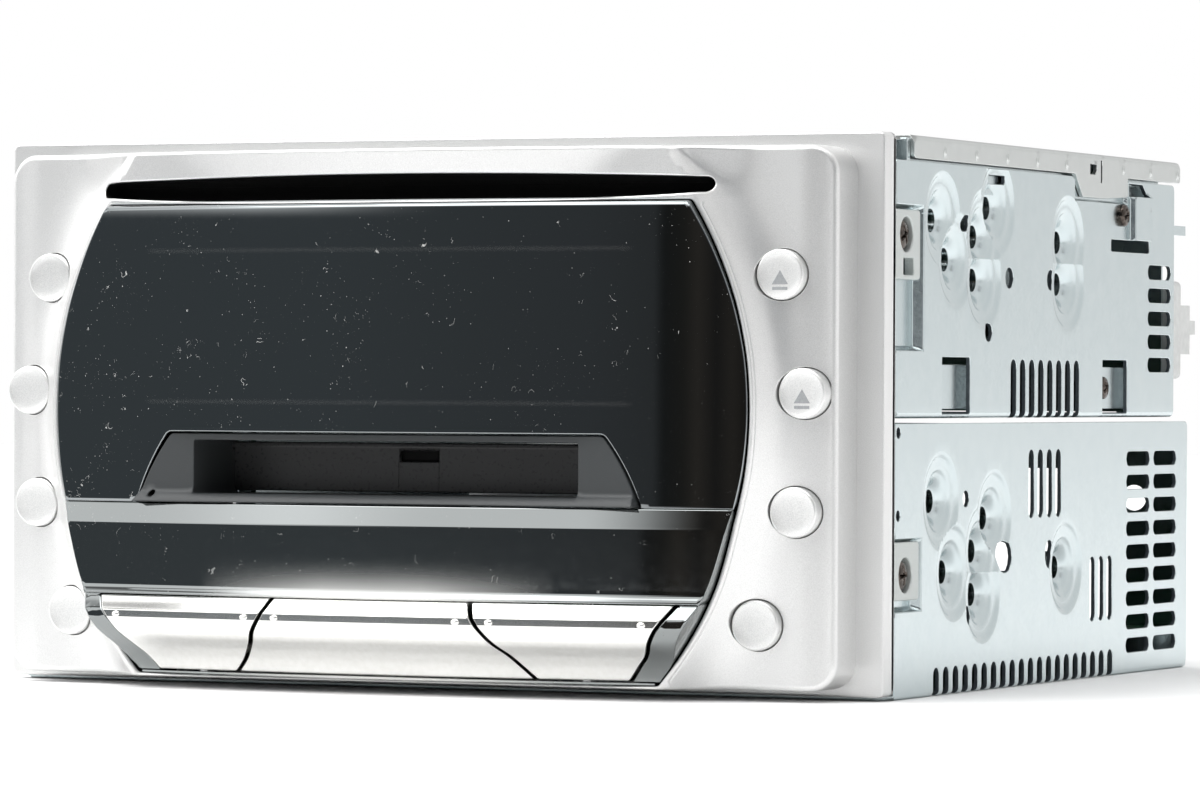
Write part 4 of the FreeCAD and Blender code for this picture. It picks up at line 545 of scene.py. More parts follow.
def panel(mesh, outer, holes, surf, place, step, r=0.3, back=0.0, K=4, mat=0, extra=None, lines=(), hole_r=None, hole_back=None, thick=None,
          hole_mats=None, free=None):
    """A sheet or a cap seen from outside: rounded rims along the outline and the holes, and the surface between them.
    thick adds the inner face, that far below."""
    rings = []
    outer = turn(outer, True)
    rings.append(rim(mesh, outer, surf, place, r, back, K, mat))
    for i, hole in enumerate(holes):
        hole = turn(hole, False)
        hr = r if hole_r is None else (hole_r[i] if not np.isscalar(hole_r) else hole_r)
        hb = back if hole_back is None else (hole_back[i] if isinstance(hole_back, (list, tuple)) else hole_back)
        wm = None if hole_mats is None else hole_mats[i]
        rings.append(rim(mesh, hole, surf, place, hr, hb, K, mat, wm))
    edge_pts = np.concatenate(rings + [np.asarray(q) for q in lines])
    if free is None:
        free = grid_points(outer.min(0), outer.max(0), step)
    if extra is not None and len(extra):
        extra = thin(extra, edge_pts, step * 0.3)
        free = thin(free, extra, step * 0.5)
        free = np.concatenate([extra, free])
    ok = inside(rings[0], free)
    for ring in rings[1:]:
        ok &= ~inside(ring, free)
    free = thin(free[ok], edge_pts, step * 0.45 if np.isscalar(step) else 0.3)
    v, f = triangulate(rings[0], rings[1:], free, lines)
    n = surf_normals(v, surf, place)
    h = surf(v)
    mesh.add(place(v, h), n, f, mat)
    if thick is not None:
        mesh.add(place(v, h - thick), -n, f, mat)
    return rings


def lathe(mesh, origin, axis, profile, n=48, mat=0, sharp=35):
    """Turns (radius, height) points about an axis. Corners sharper than `sharp` degrees stay crisp."""
    origin, axis = np.array(origin, float), Vector(axis).normalized()
    u = axis.orthogonal().normalized()
    w = axis.cross(u)
    u, w, axis = np.array(u), np.array(w), np.array(axis)
    t = np.linspace(0, 2 * np.pi, n, endpoint=False)
    ring = np.outer(np.cos(t), u) + np.outer(np.sin(t), w)
    p = np.array(profile, float)
    d = np.diff(p, axis=0)
    segn = np.column_stack([d[:, 1], -d[:, 0]])
    segn /= np.maximum(np.linalg.norm(segn, axis=1, keepdims=True), 1e-12)
    for i in range(len(d)):
        na = nb = segn[i]
        if i > 0 and np.dot(segn[i - 1], segn[i]) > math.cos(math.radians(sharp)):
            na = segn[i - 1] + segn[i]
        if i < len(d) - 1 and np.dot(segn[i + 1], segn[i]) > math.cos(math.radians(sharp)):
            nb = segn[i + 1] + segn[i]
        V, N = [], []
        for q, nn in ((p[i], na), (p[i + 1], nb)):
            nn = nn / np.linalg.norm(nn)
            V.append(origin + ring * q[0] + axis * q[1])
            N.append(ring * nn[0] + axis * nn[1])
        mesh.add(np.concatenate(V), np.concatenate(N), strip(n, 2), mat)


def slab(mesh, lo, hi, r=0.3, seg=2, mat=0):
    """A box with rounded edges."""
    lo, hi = np.array(lo, float), np.array(hi, float)
    r = min(r, *(0.49 * (hi - lo)))
    c = (lo + hi) / 2
    ax = [np.array([1, 0, 0.0]), np.array([0, 1, 0.0]), np.array([0, 0, 1.0])]
    for d in range(3):
        for s in (-1, 1):
            u, w = (d + 1) % 3, (d + 2) % 3
            th = [math.radians(45 * k / seg) for k in range(seg + 1)]
            pu = [-1.0] * 0
            grid_u, nu = [], []
            for axis_ in (u, w):
                g, nn = [], []
                for t in reversed(th):
                    g.append((lo[axis_] + r - r * math.sin(t), -math.sin(t)))
                for t in th:
                    g.append((hi[axis_] - r + r * math.sin(t), math.sin(t)))
                grid_u.append(g)
            V, N = [], []
            for a, sa in grid_u[0]:
                for b, sb in grid_u[1]:
                    q = 1 - sa * sa - sb * sb
                    nvec = ax[u] * sa + ax[w] * sb + ax[d] * s * math.sqrt(max(q, 0.05))
                    nvec /= np.linalg.norm(nvec)
                    core = np.zeros(3)
                    core[u] = min(max(a, lo[u] + r), hi[u] - r)
                    core[w] = min(max(b, lo[w] + r), hi[w] - r)
                    core[d] = (hi[d] - r) if s > 0 else (lo[d] + r)
                    V.append(core + nvec * r)
                    N.append(nvec)
            k = len(grid_u[1])
            F = [(i * k + j, (i + 1) * k + j, (i + 1) * k + j + 1, i * k + j + 1) for i in range(len(grid_u[0]) - 1) for j in range(k - 1)]
            mesh.add(V, N, F, mat)


def smooth(x):
    x = np.clip(x, 0, 1)
    return x * x * (3 - 2 * x)


# ---------------------------------------------------------------- shapes of the front
AX = 296.0
ARC_R, ARC_X, ARC_Z = 75.0, 5.0, 50.66


EDGE_Z = [2.0, 14.0, 20.0, 26.0, 31.0, 40.0, 60.0, 70.0, 81.5, 89.0]
EDGE_X = [0.40, 0.40, 0.20, -0.30, -0.55, -0.30, -0.20, -0.40, -0.93, -1.35]


def side_x(z, grow=0.0):
    z = np.asarray(z, float)
    return -ARC_X + np.sqrt((ARC_R + grow) ** 2 - (z - ARC_Z) ** 2) + np.interp(z, EDGE_Z, EDGE_X)


def profile(points):
    """A smooth curve through (z, y) points: monotone cubic pieces."""
    z, y = np.array(points, float).T
    d = np.diff(y) / np.diff(z)
    m = np.zeros(len(z))
    m[0], m[-1] = d[0], d[-1]
    for i in range(1, len(z) - 1):
        if d[i - 1] * d[i] > 0:
            w1, w2 = 2 * (z[i + 1] - z[i]) + (z[i] - z[i - 1]), (z[i + 1] - z[i]) + 2 * (z[i] - z[i - 1])
            m[i] = (w1 + w2) / (w1 / d[i - 1] + w2 / d[i])

    def at(q):
        q = np.clip(np.asarray(q, float), z[0], z[-1])
        i = np.clip(np.searchsorted(z, q) - 1, 0, len(z) - 2)
        h = z[i + 1] - z[i]
        t = (q - z[i]) / h
        return (y[i] * (1 + 2 * t) * (1 - t) ** 2 + m[i] * h * t * (1 - t) ** 2 + y[i + 1] * t * t * (3 - 2 * t) + m[i + 1] * h * t * t * (t - 1))
    return at


LENS = profile([(33.45, -24.12), (33.8, -24.03), (34.2, -24.0), (60.0, -23.8), (75.0, -23.6), (87.25, -23.4), (87.45, -23.34), (87.75, -23.06), (88.1, -22.62)])
LOWER = profile([(16.5, -25.92), (16.75, -26.0), (16.95, -25.97), (17.2, -25.85), (18.0, -25.44), (18.25, -25.395), (18.6, -25.378), (20.0, -25.371), (22.0, -25.361), (24.0, -25.351), (29.7, -25.31), (30.2, -25.22), (33.35, -24.6)])
KEY_LOW = profile([(2.75, -20.9), (3.5, -21.2), (5.0, -22.0), (6.0, -22.8), (7.0, -23.8), (8.0, -25.1), (9.0, -26.5), (10.0, -27.6), (11.0, -28.25), (11.7, -28.56), (12.1, -28.68), (12.4, -28.72)])
KEY_HIGH = profile([(12.4, -28.72), (12.6, -28.714), (13.4, -28.688), (13.7, -28.676), (13.85, -28.61), (14.2, -28.32), (15.2, -27.5), (16.4, -26.4)])


def bowed(y0, axis=None):
    """Height towards the viewer of a profile turned about the upright axis behind the panel."""
    def surf(ab):
        back = np.where(ab[:, 1] < 33.4, AX + 9.0, AX + 29.0) if axis is None else axis
        R = back - y0(ab[:, 1])
        return -(back - np.sqrt(np.maximum(R * R - ab[:, 0] ** 2, 1.0)))
    return surf


def key_profile(z):
    return np.where(z < 12.4, KEY_LOW(z), KEY_HIGH(z))


def row(z, short=0.8, x0=None):
    """A level row of points across the lens, or one side of it."""
    e = float(side_x(z)) - short
    return np.column_stack([np.linspace(-e, e, 100), np.full(100, z)]) if x0 is None else np.column_stack([np.linspace(x0, math.copysign(e, x0), 14), np.full(14, z)])


lens_surf = bowed(LENS)
lower_surf = bowed(LOWER)
key_surf = bowed(key_profile)
horn_surf = bowed(lambda z: key_profile(z) + 0.8)


LIP = 0.16


def lens_gap(ab, grow=LIP):
    """Distance outside the lens opening of the bezel."""
    x = np.abs(ab[:, 0]) + ARC_X - np.interp(ab[:, 1], EDGE_Z, EDGE_X)
    return np.sqrt(x * x + (ab[:, 1] - ARC_Z) ** 2) - (ARC_R + grow)


def bezel_surf(ab):
    x, z = np.abs(ab[:, 0]), ab[:, 1]
    d = np.maximum(lens_gap(ab), 0.0)
    base = 9.45 + 0.95 * smooth((83.0 - x) / 6.0) + 5.0 * np.exp(-(np.maximum(d - 0.9, 0) / 3.1) ** 1.3) + 0.95 * np.exp(-(d / 7.5) ** 2) - 0.16 * np.exp(-((d - 1.05) / 0.12) ** 2)
    base = base + 0.12 * smooth((1.0 - d) / 0.3)
    y0 = np.interp(z, [88.5, 91.0, 98.0], [-18.4, -18.6, -19.85])
    R = AX - y0
    brow = -(AX - np.sqrt(R * R - np.minimum(x, 80.0) ** 2))
    s = np.maximum(x - (59.6 - (z - 93.5) * 0.72), 0.0)
    over = brow - 0.17 * s - base
    over = 0.5 * (over + np.sqrt(over ** 2 + 0.35))
    return base + over * smooth((z - 72.0) / 16.0)


# ---------------------------------------------------------------- bezel
def lens_loop(z0, z1, grow, top_r=1.6, low_r=1.2, step=1.2):
    n = int((z1 - z0) / step)
    z = np.linspace(z0, z1, n)
    right = np.column_stack([side_x(z, grow), z])
    left = np.column_stack([-side_x(z[::-1], grow), z[::-1]])
    loop = np.concatenate([right, left])
    radii = np.zeros(len(loop))
    radii[0] = radii[-1] = low_r
    radii[n - 1] = radii[n] = top_r
    # corners need room, so their neighbours are dropped
    keep = np.ones(len(loop), bool)
    for i, rr in ((0, low_r), (n - 1, top_r), (n, top_r), (len(loop) - 1, low_r)):
        for q in range(1, 1 + int(math.ceil(rr / step))):
            j = i + q if i in (0, n) else i - q
            keep[j % len(loop)] = False
    return fillet(loop[keep], radii[keep], 5)


BUTTONS = [("source_button", -74.0, 75.0), ("mode_button", -78.3, 54.0), ("color_button", -76.7, 33.0), ("power_button", -69.5, 12.9),
           ("cd_eject_button", 74.0, 75.0), ("md_eject_button", 78.3, 54.0), ("sound_button", 76.7, 33.0), ("tone_button", 69.5, 12.9)]
bezel = Mesh()
outer = resample(fillet([(-83.8, 1.3), (83.8, 1.3), (83.8, 98.0), (-83.8, 98.0)], 5.0, 12), 1.5)
opening = resample(lens_loop(1.9, 88.3, LIP, 1.0), 1.2)
xs = np.linspace(59.6, -59.6, 81)
tops = np.column_stack([xs, 93.35 - 1.0 * (xs / 60.0) ** 2])
lows = np.column_stack([xs[::-1], 89.62 - 1.0 * (1 - (xs[::-1] / 60.0) ** 4)])
slot_loop = np.concatenate([lows, arc(60.35, 90.99, 1.37, -80, 80, 9), tops, arc(-60.35, 90.99, 1.37, 100, 260, 9)])
slot_loop = resample(slot_loop, 1.2)
circles = [arc(x, z, 4.68, 0, 360, 65)[:-1] for _, x, z in BUTTONS]
ox = np.abs(turn(outer, True)[:, 0])
oz = turn(outer, True)[:, 1]
outer_r = np.where(oz < 20, 0.22 + 0.8 * smooth((ox - 53.0) / 14.0), 1.02)
outer_r = np.where((oz > 90) & (ox < 66), 0.7 + 0.32 * smooth((ox - 58) / 8.0), outer_r)
zr = np.linspace(2.9, 87.2, 130)


def beside(z, d, sg):
    return np.column_stack([sg * (side_x(z) + LIP + d / np.maximum(0.45, (side_x(z) + ARC_X) / ARC_R)), z])


ridges = [beside(zr, d, sg) for sg in (1, -1) for d in (0.62, 0.85, 0.95, 1.0, 1.05, 1.1, 1.15, 1.3, 1.6, 2.0, 2.5)]
extra = np.concatenate([beside(zr[::2], d, sg) for sg in (1, -1) for d in (3.1, 3.7, 4.4, 5.2, 6.2, 7.4, 8.8)])
extra = extra[(np.abs(extra[:, 0]) < 82.3) & (extra[:, 1] > 2.9)]
corner = grid_points(np.array([53.0, 86.0]), np.array([74.0, 97.2]), 0.55)
extra = np.concatenate([corner, corner * np.array([-1, 1]), extra])
zc = np.linspace(93.5, 96.6, 8)
for s_ in (-1, 1):
    for q in (-0.9, -0.5, -0.22, 0.0, 0.22, 0.5, 0.9):
        ridges.append(np.column_stack([s_ * (59.6 - (zc - 93.5) * 0.72 + q), zc]))
panel(bezel, outer, [opening, slot_loop, *circles], bezel_surf, front_place, 1.7, r=0.0 * ox + outer_r, back=0.0, K=5, extra=extra,
      lines=ridges, hole_r=[0.45, 0.4] + [0.14] * 8, hole_back=[-2.0, 8.0] + [6.5] * 8, hole_mats=[1, 1] + [0] * 8)
bezel.build("bezel", [silver, matte_black], "chassis", ["front_bezel"], "silver_paint")

fm = Mesh()
slab(fm, (-62.5, -7.6, 87.8), (62.5, -6.6, 91.62), 0.12)
slab(fm, (-62.5, -7.55, 91.6), (62.5, -6.55, 95.4), 0.12)
fm.build("slot_brushes", [felt], "chassis", ["slot_felts"], "felt")

# ---------------------------------------------------------------- lenses
TRAP_TOP, TRAP_LOW = (44.0, 46.5), (51.0, 33.0)


def trap_side(grow=0.0, n=9):
    """Right side of the trapezoid from the bottom up: an arc through three points."""
    t = np.linspace(0, 1, n)
    x = (1 - t) * (51.0 + grow) + t * (44.0 + grow) + 0.8 * 4 * t * (1 - t)
    z = (1 - t) * 33.0 + t * (46.5 + grow * 0.6)
    return np.column_stack([x, z])


zz = np.linspace(33.45, 88.08, 48)
right = np.column_stack([side_x(zz), zz])
left = np.column_stack([-side_x(zz[::-1]), zz[::-1]])
ts = trap_side()
ts[0] = (50.95, 33.45)
tl = ts[::-1] * np.array([-1, 1])
pts = np.concatenate([ts[::-1] * 1.0, right, left, (ts * np.array([-1, 1]))])
rad = np.zeros(len(pts))
rad[0] = rad[-1] = 1.6
rad[len(ts) + len(right) - 1] = rad[len(ts) + len(right)] = 0.6
lens_outer = resample(fillet(pts, rad, 5), 1.0)
lens = Mesh()
turned = turn(lens_outer, True)
edge_r = np.full(len(turned), 0.24)
panel(lens, lens_outer, [], lens_surf, front_place, 1.6, r=edge_r, back=12.0, K=6,
      lines=[row(z, 0.9, x0) for z in (33.72, 33.85, 34.0, 34.2, 34.6) for x0 in (52.6, -52.6)] + [row(z, 0.95) for z in (86.8, 87.0, 87.1, 87.18, 87.25, 87.32, 87.4, 87.48, 87.56, 87.66, 87.76)])
lens.build("upper_lens", [gloss], "chassis", ["display_lens"], "black_gloss")

END = [(16.4, 57.8), (14.0, 56.3), (12.0, 54.8), (9.5, 53.1), (7.3, 51.5), (5.5, 49.7), (2.75, 47.4)]
SPLIT = [(16.4, 19.9), (14.2, 20.9), (12.3, 22.0), (10.5, 23.3), (8.8, 24.5), (7.0, 26.2), (5.0, 27.9), (2.75, 30.1)]
end_x = profile([(z, x) for z, x in reversed(END)])
split_x = profile([(z, x) for z, x in reversed(SPLIT)])

low_lens = Mesh()
zz = np.linspace(16.55, 33.35, 16)
right = np.column_stack([side_x(zz), zz])
left = np.column_stack([-side_x(zz[::-1]), zz[::-1]])
loop = resample(np.concatenate([right, left]), 1.0)
panel(low_lens, loop, [], lower_surf, front_place, 1.6, r=0.16, back=10.0, K=3,
      lines=[row(z) for z in (16.7, 16.8, 16.9, 17.0, 17.1, 17.2, 17.3, 17.4, 17.5, 17.6, 17.7, 17.8, 17.9, 18.0, 18.15, 18.3, 18.5, 18.9, 19.3, 19.8, 20.4, 21.0, 21.7, 22.5, 23.4, 24.4, 25.5, 26.8, 28.2, 29.2, 29.5, 29.8, 29.95, 30.1, 30.2, 30.4)])
# horns at the sides of the keys
for s in (1, -1):
    zh = np.linspace(2.45, 16.85, 30)
    inner = np.column_stack([end_x(zh) + 0.45, zh])
    outer_h = np.column_stack([side_x(zh), zh])
    loop = np.concatenate([inner[::-1], outer_h]) * np.array([s, 1])
    panel(low_lens, resample(loop, 0.8), [], horn_surf, front_place, 1.0, r=0.3, back=10.0, K=3)
# bar under the keys
bar = resample(np.array([(-51.9, 1.98), (51.9, 1.98), (51.9, 2.42), (-51.9, 2.42)]), 1.5)
panel(low_lens, bar, [], bowed(lambda z: -20.3 + 0 * z), front_place, 3.0, r=0.1, back=10.0, K=2)
low_lens.build("lower_lens_cover", [gloss_low], "chassis", ["lower_lens"], "black_gloss")


# ---------------------------------------------------------------- keys
def key_mesh(left_x, right_x, name):
    m = Mesh()
    zs = np.concatenate([np.linspace(2.75, 12.1, 26), np.linspace(12.25, 14.0, 15), np.linspace(14.3, 16.4, 8)])
    rc = 0.35
    k = 5
    th = np.radians(np.linspace(90, 0, k))
    edge = rc * (1 - np.sin(th))
    drop = rc * (1 - np.cos(th))
    zlow, zhigh = 2.75, 16.4
    zin = zs[(zs > zlow + rc) & (zs < zhigh - rc)]
    zrow = np.concatenate([zlow + edge, zin, (zhigh - edge)[::-1]])
    zdrop = np.concatenate([drop, 0 * zin, drop[::-1]])
    zth = np.concatenate([-th, 0 * zin, th[::-1]])
    nx = 46
    V, N = [], []
    for z, dz, tz in zip(zrow, zdrop, zth):
        a, b = float(left_x(z)), float(right_x(z))
        w = b - a
        u = np.concatenate([a + edge, np.linspace(a + rc, b - rc, nx)[1:-1], (b - edge)[::-1]])
        dx = np.concatenate([drop, np.zeros(nx - 2), drop[::-1]])
        tx = np.concatenate([-th, np.zeros(nx - 2), th[::-1]])
        ab = np.column_stack([u, np.full(len(u), z)])
        h = key_surf(ab) - np.maximum(dx, dz)
        ns = surf_normals(ab, key_surf, front_place)
        sx = np.sin(np.abs(tx)) * np.sign(tx)
        sz = np.full(len(u), math.sin(abs(tz)) * np.sign(tz) if tz else 0.0)
        tot = np.clip(np.sqrt(sx ** 2 + sz ** 2), 0, 1)
        flat = np.sqrt(1 - tot ** 2)
        n = ns * flat[:, None] + np.column_stack([sx, 0 * sx, sz])
        V.append(front_place(ab, h))
        N.append(n)
    c = len(V[0])
    r_ = len(V)
    F = [(i * c + j, i * c + j + 1, (i + 1) * c + j + 1, (i + 1) * c + j) for i in range(r_ - 1) for j in range(c - 1)]
    VV = np.concatenate(V)
    m.add(VV, np.concatenate(N), F)
    # walls
    P = VV.reshape(r_, c, 3)
    for row, nz in ((P[0], -1), (P[-1], 1)):
        back = row.copy()
        back[:, 1] = -15.7
        m.add(np.concatenate([row, back]), np.tile([0, 0, nz], (2 * c, 1)), [(j, j + 1, c + j + 1, c + j) for j in range(c - 1)])
    for col, sgn in ((P[:, 0], -1), (P[:, -1], 1)):
        back = col.copy()
        back[:, 1] = -15.7
        t = np.gradient(col[:, [0, 2]], axis=0)
        n = np.column_stack([t[:, 1], 0 * t[:, 0], -t[:, 0]]) * sgn
        m.add(np.concatenate([col, back]), np.concatenate([n, n]), [(j, j + 1, r_ + j + 1, r_ + j) for j in range(r_ - 1)])
    return m


def nub(m, x, z):
    y0 = -float(key_surf(np.array([[x, z]]))[0])
    V, N, F = [], [], []
    a, b = 12, 20
    for i in range(a + 1):
        t = math.pi / 2 * i / a
        for j in range(b):
            q = 2 * math.pi * j / b
            d = np.array([math.sin(t) * math.cos(q), -math.cos(t), math.sin(t) * math.sin(q)])
            V.append(np.array([x, y0 + 0.15, z]) + d * np.array([0.85, 0.65, 0.6]))
            N.append(d / np.array([0.85, 0.65, 0.6]))
    for i in range(a):
        for j in range(b):
            F.append((i * b + j, i * b + (j + 1) % b, (i + 1) * b + (j + 1) % b, (i + 1) * b + j))
    m.add(V, N, F)


hg = 0.42
km = key_mesh(lambda z: -split_x(z) + hg, lambda z: split_x(z) - hg, "center")
for x in (-18.2, 18.2):
    nub(km, x, 12.95)
km.build("key_cap_center", [chrome], "key_center", ["key_center"], "chrome_plate")
km = key_mesh(lambda z: split_x(z) + hg, lambda z: end_x(z), "right")
for x in (24.6, 52.85):
    nub(km, x, 12.95)
km.build("key_cap_right", [chrome], "key_right", ["key_right"], "chrome_plate")
km = key_mesh(lambda z: -end_x(z), lambda z: -split_x(z) - hg, "left")
for x in (-24.6, -52.85):
    nub(km, x, 12.95)
km.build("key_cap_left", [chrome], "key_left", ["key_left"], "chrome_plate")

# ---------------------------------------------------------------- cartridge slot
sur = Mesh()
ts = trap_side(-0.45)
ts[0] = (50.5, 33.62)
pts = np.concatenate([ts, ts[::-1] * np.array([-1, 1])])
rad = np.zeros(len(pts))
rad[len(ts) - 1] = rad[len(ts)] = 1.4
sur_outer = resample(fillet(pts, rad, 5), 1.0)
mouth = resample(fillet([(-38.75, 35.2), (38.75, 35.2), (38.75, 45.0), (-38.75, 45.0)], 0.4, 3), 1.0)
pinhole = arc(-47.1, 35.1, 0.6, 0, 360, 25)[:-1]


def sur_surf(ab):
    z = ab[:, 1]
    return 20.7 + 2.6 * smooth((36.2 - z) / 2.6) * 1.0


panel(sur, sur_outer, [mouth, pinhole], sur_surf, front_place, 1.2, r=0.25, back=3.6, K=3, hole_back=[3.6, 12.0], hole_mats=[0, 1])
sur.build("slot_surround", [dark_grey, matte_black], "chassis", ["md_slot_surround"], "dark_grey")

door = Mesh()
slab(door, (-38.15, -5.9, 35.6), (-4.0, -4.7, 44.5), 0.3)
slab(door, (4.0, -5.9, 35.6), (38.15, -4.7, 44.5), 0.3)
slab(door, (-4.2, -5.9, 35.6), (4.2, -4.7, 41.2), 0.3)
slab(door, (-5.5, -4.55, 40.4), (5.5, -4.3, 44.25), 0.08, 1, 1)
lathe(door, (-42.6, -5.2, 43.9), (1, 0, 0), [(0, 0), (0.75, 0), (0.75, 82.9), (0, 82.9)], 24)
door.build("shutter", [door_black, matte_black], "md_door", ["md_door"], "black_matte")

# ---------------------------------------------------------------- outer frame
ff = Mesh()


def flat(value):
    return lambda ab: np.full(len(ab), float(value))


outer = resample(fillet([(-89, 0), (89, 0), (89, 100.6), (-89, 100.6)], 1.2, 4), 3.0)
win = resample(fillet([(-80, 4), (80, 4), (80, 96), (-80, 96)], 1.0, 3), 4.0)
panel(ff, outer, [win], flat(0.0), front_place, 6.0, r=0.45, back=-5.0, K=3)


def back_place(ab, h):
    return np.column_stack([ab[:, 0], h, ab[:, 1]])


panel(ff, outer, [win], flat(5.0), back_place, 6.0, r=0.1, back=4.0, K=1)
for s in (1, -1):
    for z0, z1, hz, wn in ((74.5, 87.0, 82.5, True), (17.0, 27.5, 21.5, False)):
        loop = resample(fillet([(4.4, z0), (17.0, z0), (17.0, z1), (4.4, z1)], [0, 0.8, 0.8, 0], 3), 1.0)
        holes = [arc(10.5, hz, 3.15, 0, 360, 33)[:-1]]
        if wn:
            holes.append(resample(fillet([(9.0, 75.3), (14.0, 75.3), (14.0, 78.3), (9.0, 78.3)], 0.3, 2), 1.0))
        place = (lambda sg: lambda ab, h: np.column_stack([sg * h, ab[:, 0], ab[:, 1]]))(s)
        panel(ff, loop, holes, flat(89.0), place, 2.0, r=0.3, back=87.2, K=3, mat=1)
        lathe(ff, (s * 87.2, 10.5, hz), (s, 0, 0), [(1.6, 0.0), (3.2, 0.0)], 32, 1)
ff.build("outer_frame", [silver, tab_paint], "chassis", ["front_frame"], "silver_paint")

# ---------------------------------------------------------------- buttons
BF = -12.5
for name, x, z in BUTTONS:
    m = Mesh()
    rb = 4.5
    prof = [(0.01, 0.24), (2.1, 0.22), (3.1, 0.16), (3.7, 0.08), (4.0, 0.02), (4.08, 0.0), (4.18, 0.015), (4.32, 0.09), (4.42, 0.2), (4.48, 0.34), (rb, 0.5), (rb, 4.85)]
    lathe(m, (x, BF, z), (0, 1, 0), prof, 72)
    if name.endswith("eject_button"):
        face = (lambda bx, bz: lambda ab: -BF - np.interp(np.hypot(ab[:, 0] - bx, ab[:, 1] - bz), [q[0] for q in prof], [q[1] for q in prof]) + 0.03)(x, z)
        for shape in ([(-1.55, -1.75), (1.55, -1.75), (0.0, 0.75)], [(-1.45, -2.75), (1.45, -2.75), (1.45, -2.2), (-1.45, -2.2)]):
            loop = resample(np.array([(x + a, z + b) for a, b in shape]), 0.6)
            panel(m, loop, [], face, front_place, 0.6, r=0.02, back=9.0, K=1, mat=1)
    fx = max(min(x, 76.0), -76.0)
    lathe(m, (fx, -11.2, z), (0, 1, 0), [(4.15, 3.7), (5.3, 3.7), (5.3, 4.7), (1.5, 4.7)], 32)
    lathe(m, (max(min(x, 74.9), -74.9), -11.2, z), (0, 1, 0), [(1.5, 4.6), (1.5, 6.7), (0.01, 6.7)], 24)
    m.build(name + "_cap", [silver_button, print_soft], name, [name], "silver_paint")

# ---------------------------------------------------------------- steel decks
CH, T, BR = 89.0, 0.8, 1.0
UP_M5 = [(28.0, 85.5), (34.8, 78.5), (55.8, 88.5), (49.0, 83.0), (49.0, 75.0), (93.5, 83.0), (93.5, 75.0)]
LOW_M5 = [(27.8, 34.5), (34.3, 21.5), (54.8, 31.0), (49.0, 25.0), (49.0, 17.0), (93.0, 21.0)]


class Tray:
    """A sheet bent into a tray, unrolled: a = y, b runs down the right wall as z, under the floor, and up the left wall."""

    def __init__(self, floor):
        self.floor = floor
        self.s1 = floor + BR
        self.s2 = self.s1 - BR * math.pi / 2
        self.mid = self.s2 - (CH - BR)

    def flip(self, loop):
        return np.column_stack([loop[:, 0], 2 * self.mid - loop[:, 1]])

    def place(self, ab, h):
        b = ab[:, 1]
        left = b < self.mid
        b = np.where(left, 2 * self.mid - b, b)
        phi = np.clip((self.s1 - b) / BR, 0, math.pi / 2)
        nx, nz = np.cos(phi), -np.sin(phi)
        x = (CH - BR) + BR * np.cos(phi) - np.maximum(self.s2 - b, 0)
        z = self.floor + BR - BR * np.sin(phi) + np.maximum(b - self.s1, 0)
        x, z = x + nx * h, z + nz * h
        return np.column_stack([np.where(left, -x, x), ab[:, 0], z])

    def wall(self, ab):
        """Height up the nearer wall."""
        return np.where(ab[:, 1] < self.mid, 2 * self.mid - ab[:, 1], ab[:, 1])


def slot_pts(a0, a1, b0, b1, n=7):
    if a1 - a0 > b1 - b0:
        r = (b1 - b0) / 2
        return np.concatenate([arc(a1 - r, b0 + r, r, -90, 90, n), arc(a0 + r, b0 + r, r, 90, 270, n)])
    r = (a1 - a0) / 2
    return np.concatenate([arc(a0 + r, b1 - r, r, 0, 180, n), arc(a0 + r, b0 + r, r, 180, 360, n)])


def wrap_pts(tray, y, top, inner_x, w=1.5):
    """A vent that runs round the lower edge, down to inner_x on the floor."""
    low = tray.s2 - (CH - BR - inner_x)
    return resample(np.concatenate([arc(y, top - w, w, 0, 180, 9), fillet([(y - w, top - w), (y - w, low), (y + w, low), (y + w, top - w)], [0, 0.4, 0.4, 0], 2)[1:-1]]), 0.5)


CUP = profile([(0.0, 3.0), (2.15, 3.0), (2.7, 2.8), (3.1, 2.45), (3.5, 2.02), (3.9, 1.64), (4.3, 1.36), (4.7, 1.2), (5.1, 1.1), (5.35, 0.99), (5.7, 0.76), (6.0, 0.66), (7.4, 0.52), (7.8, 0.43),
               (8.2, 0.24), (8.6, 0.07), (9.0, 0.01), (9.4, 0.0)])


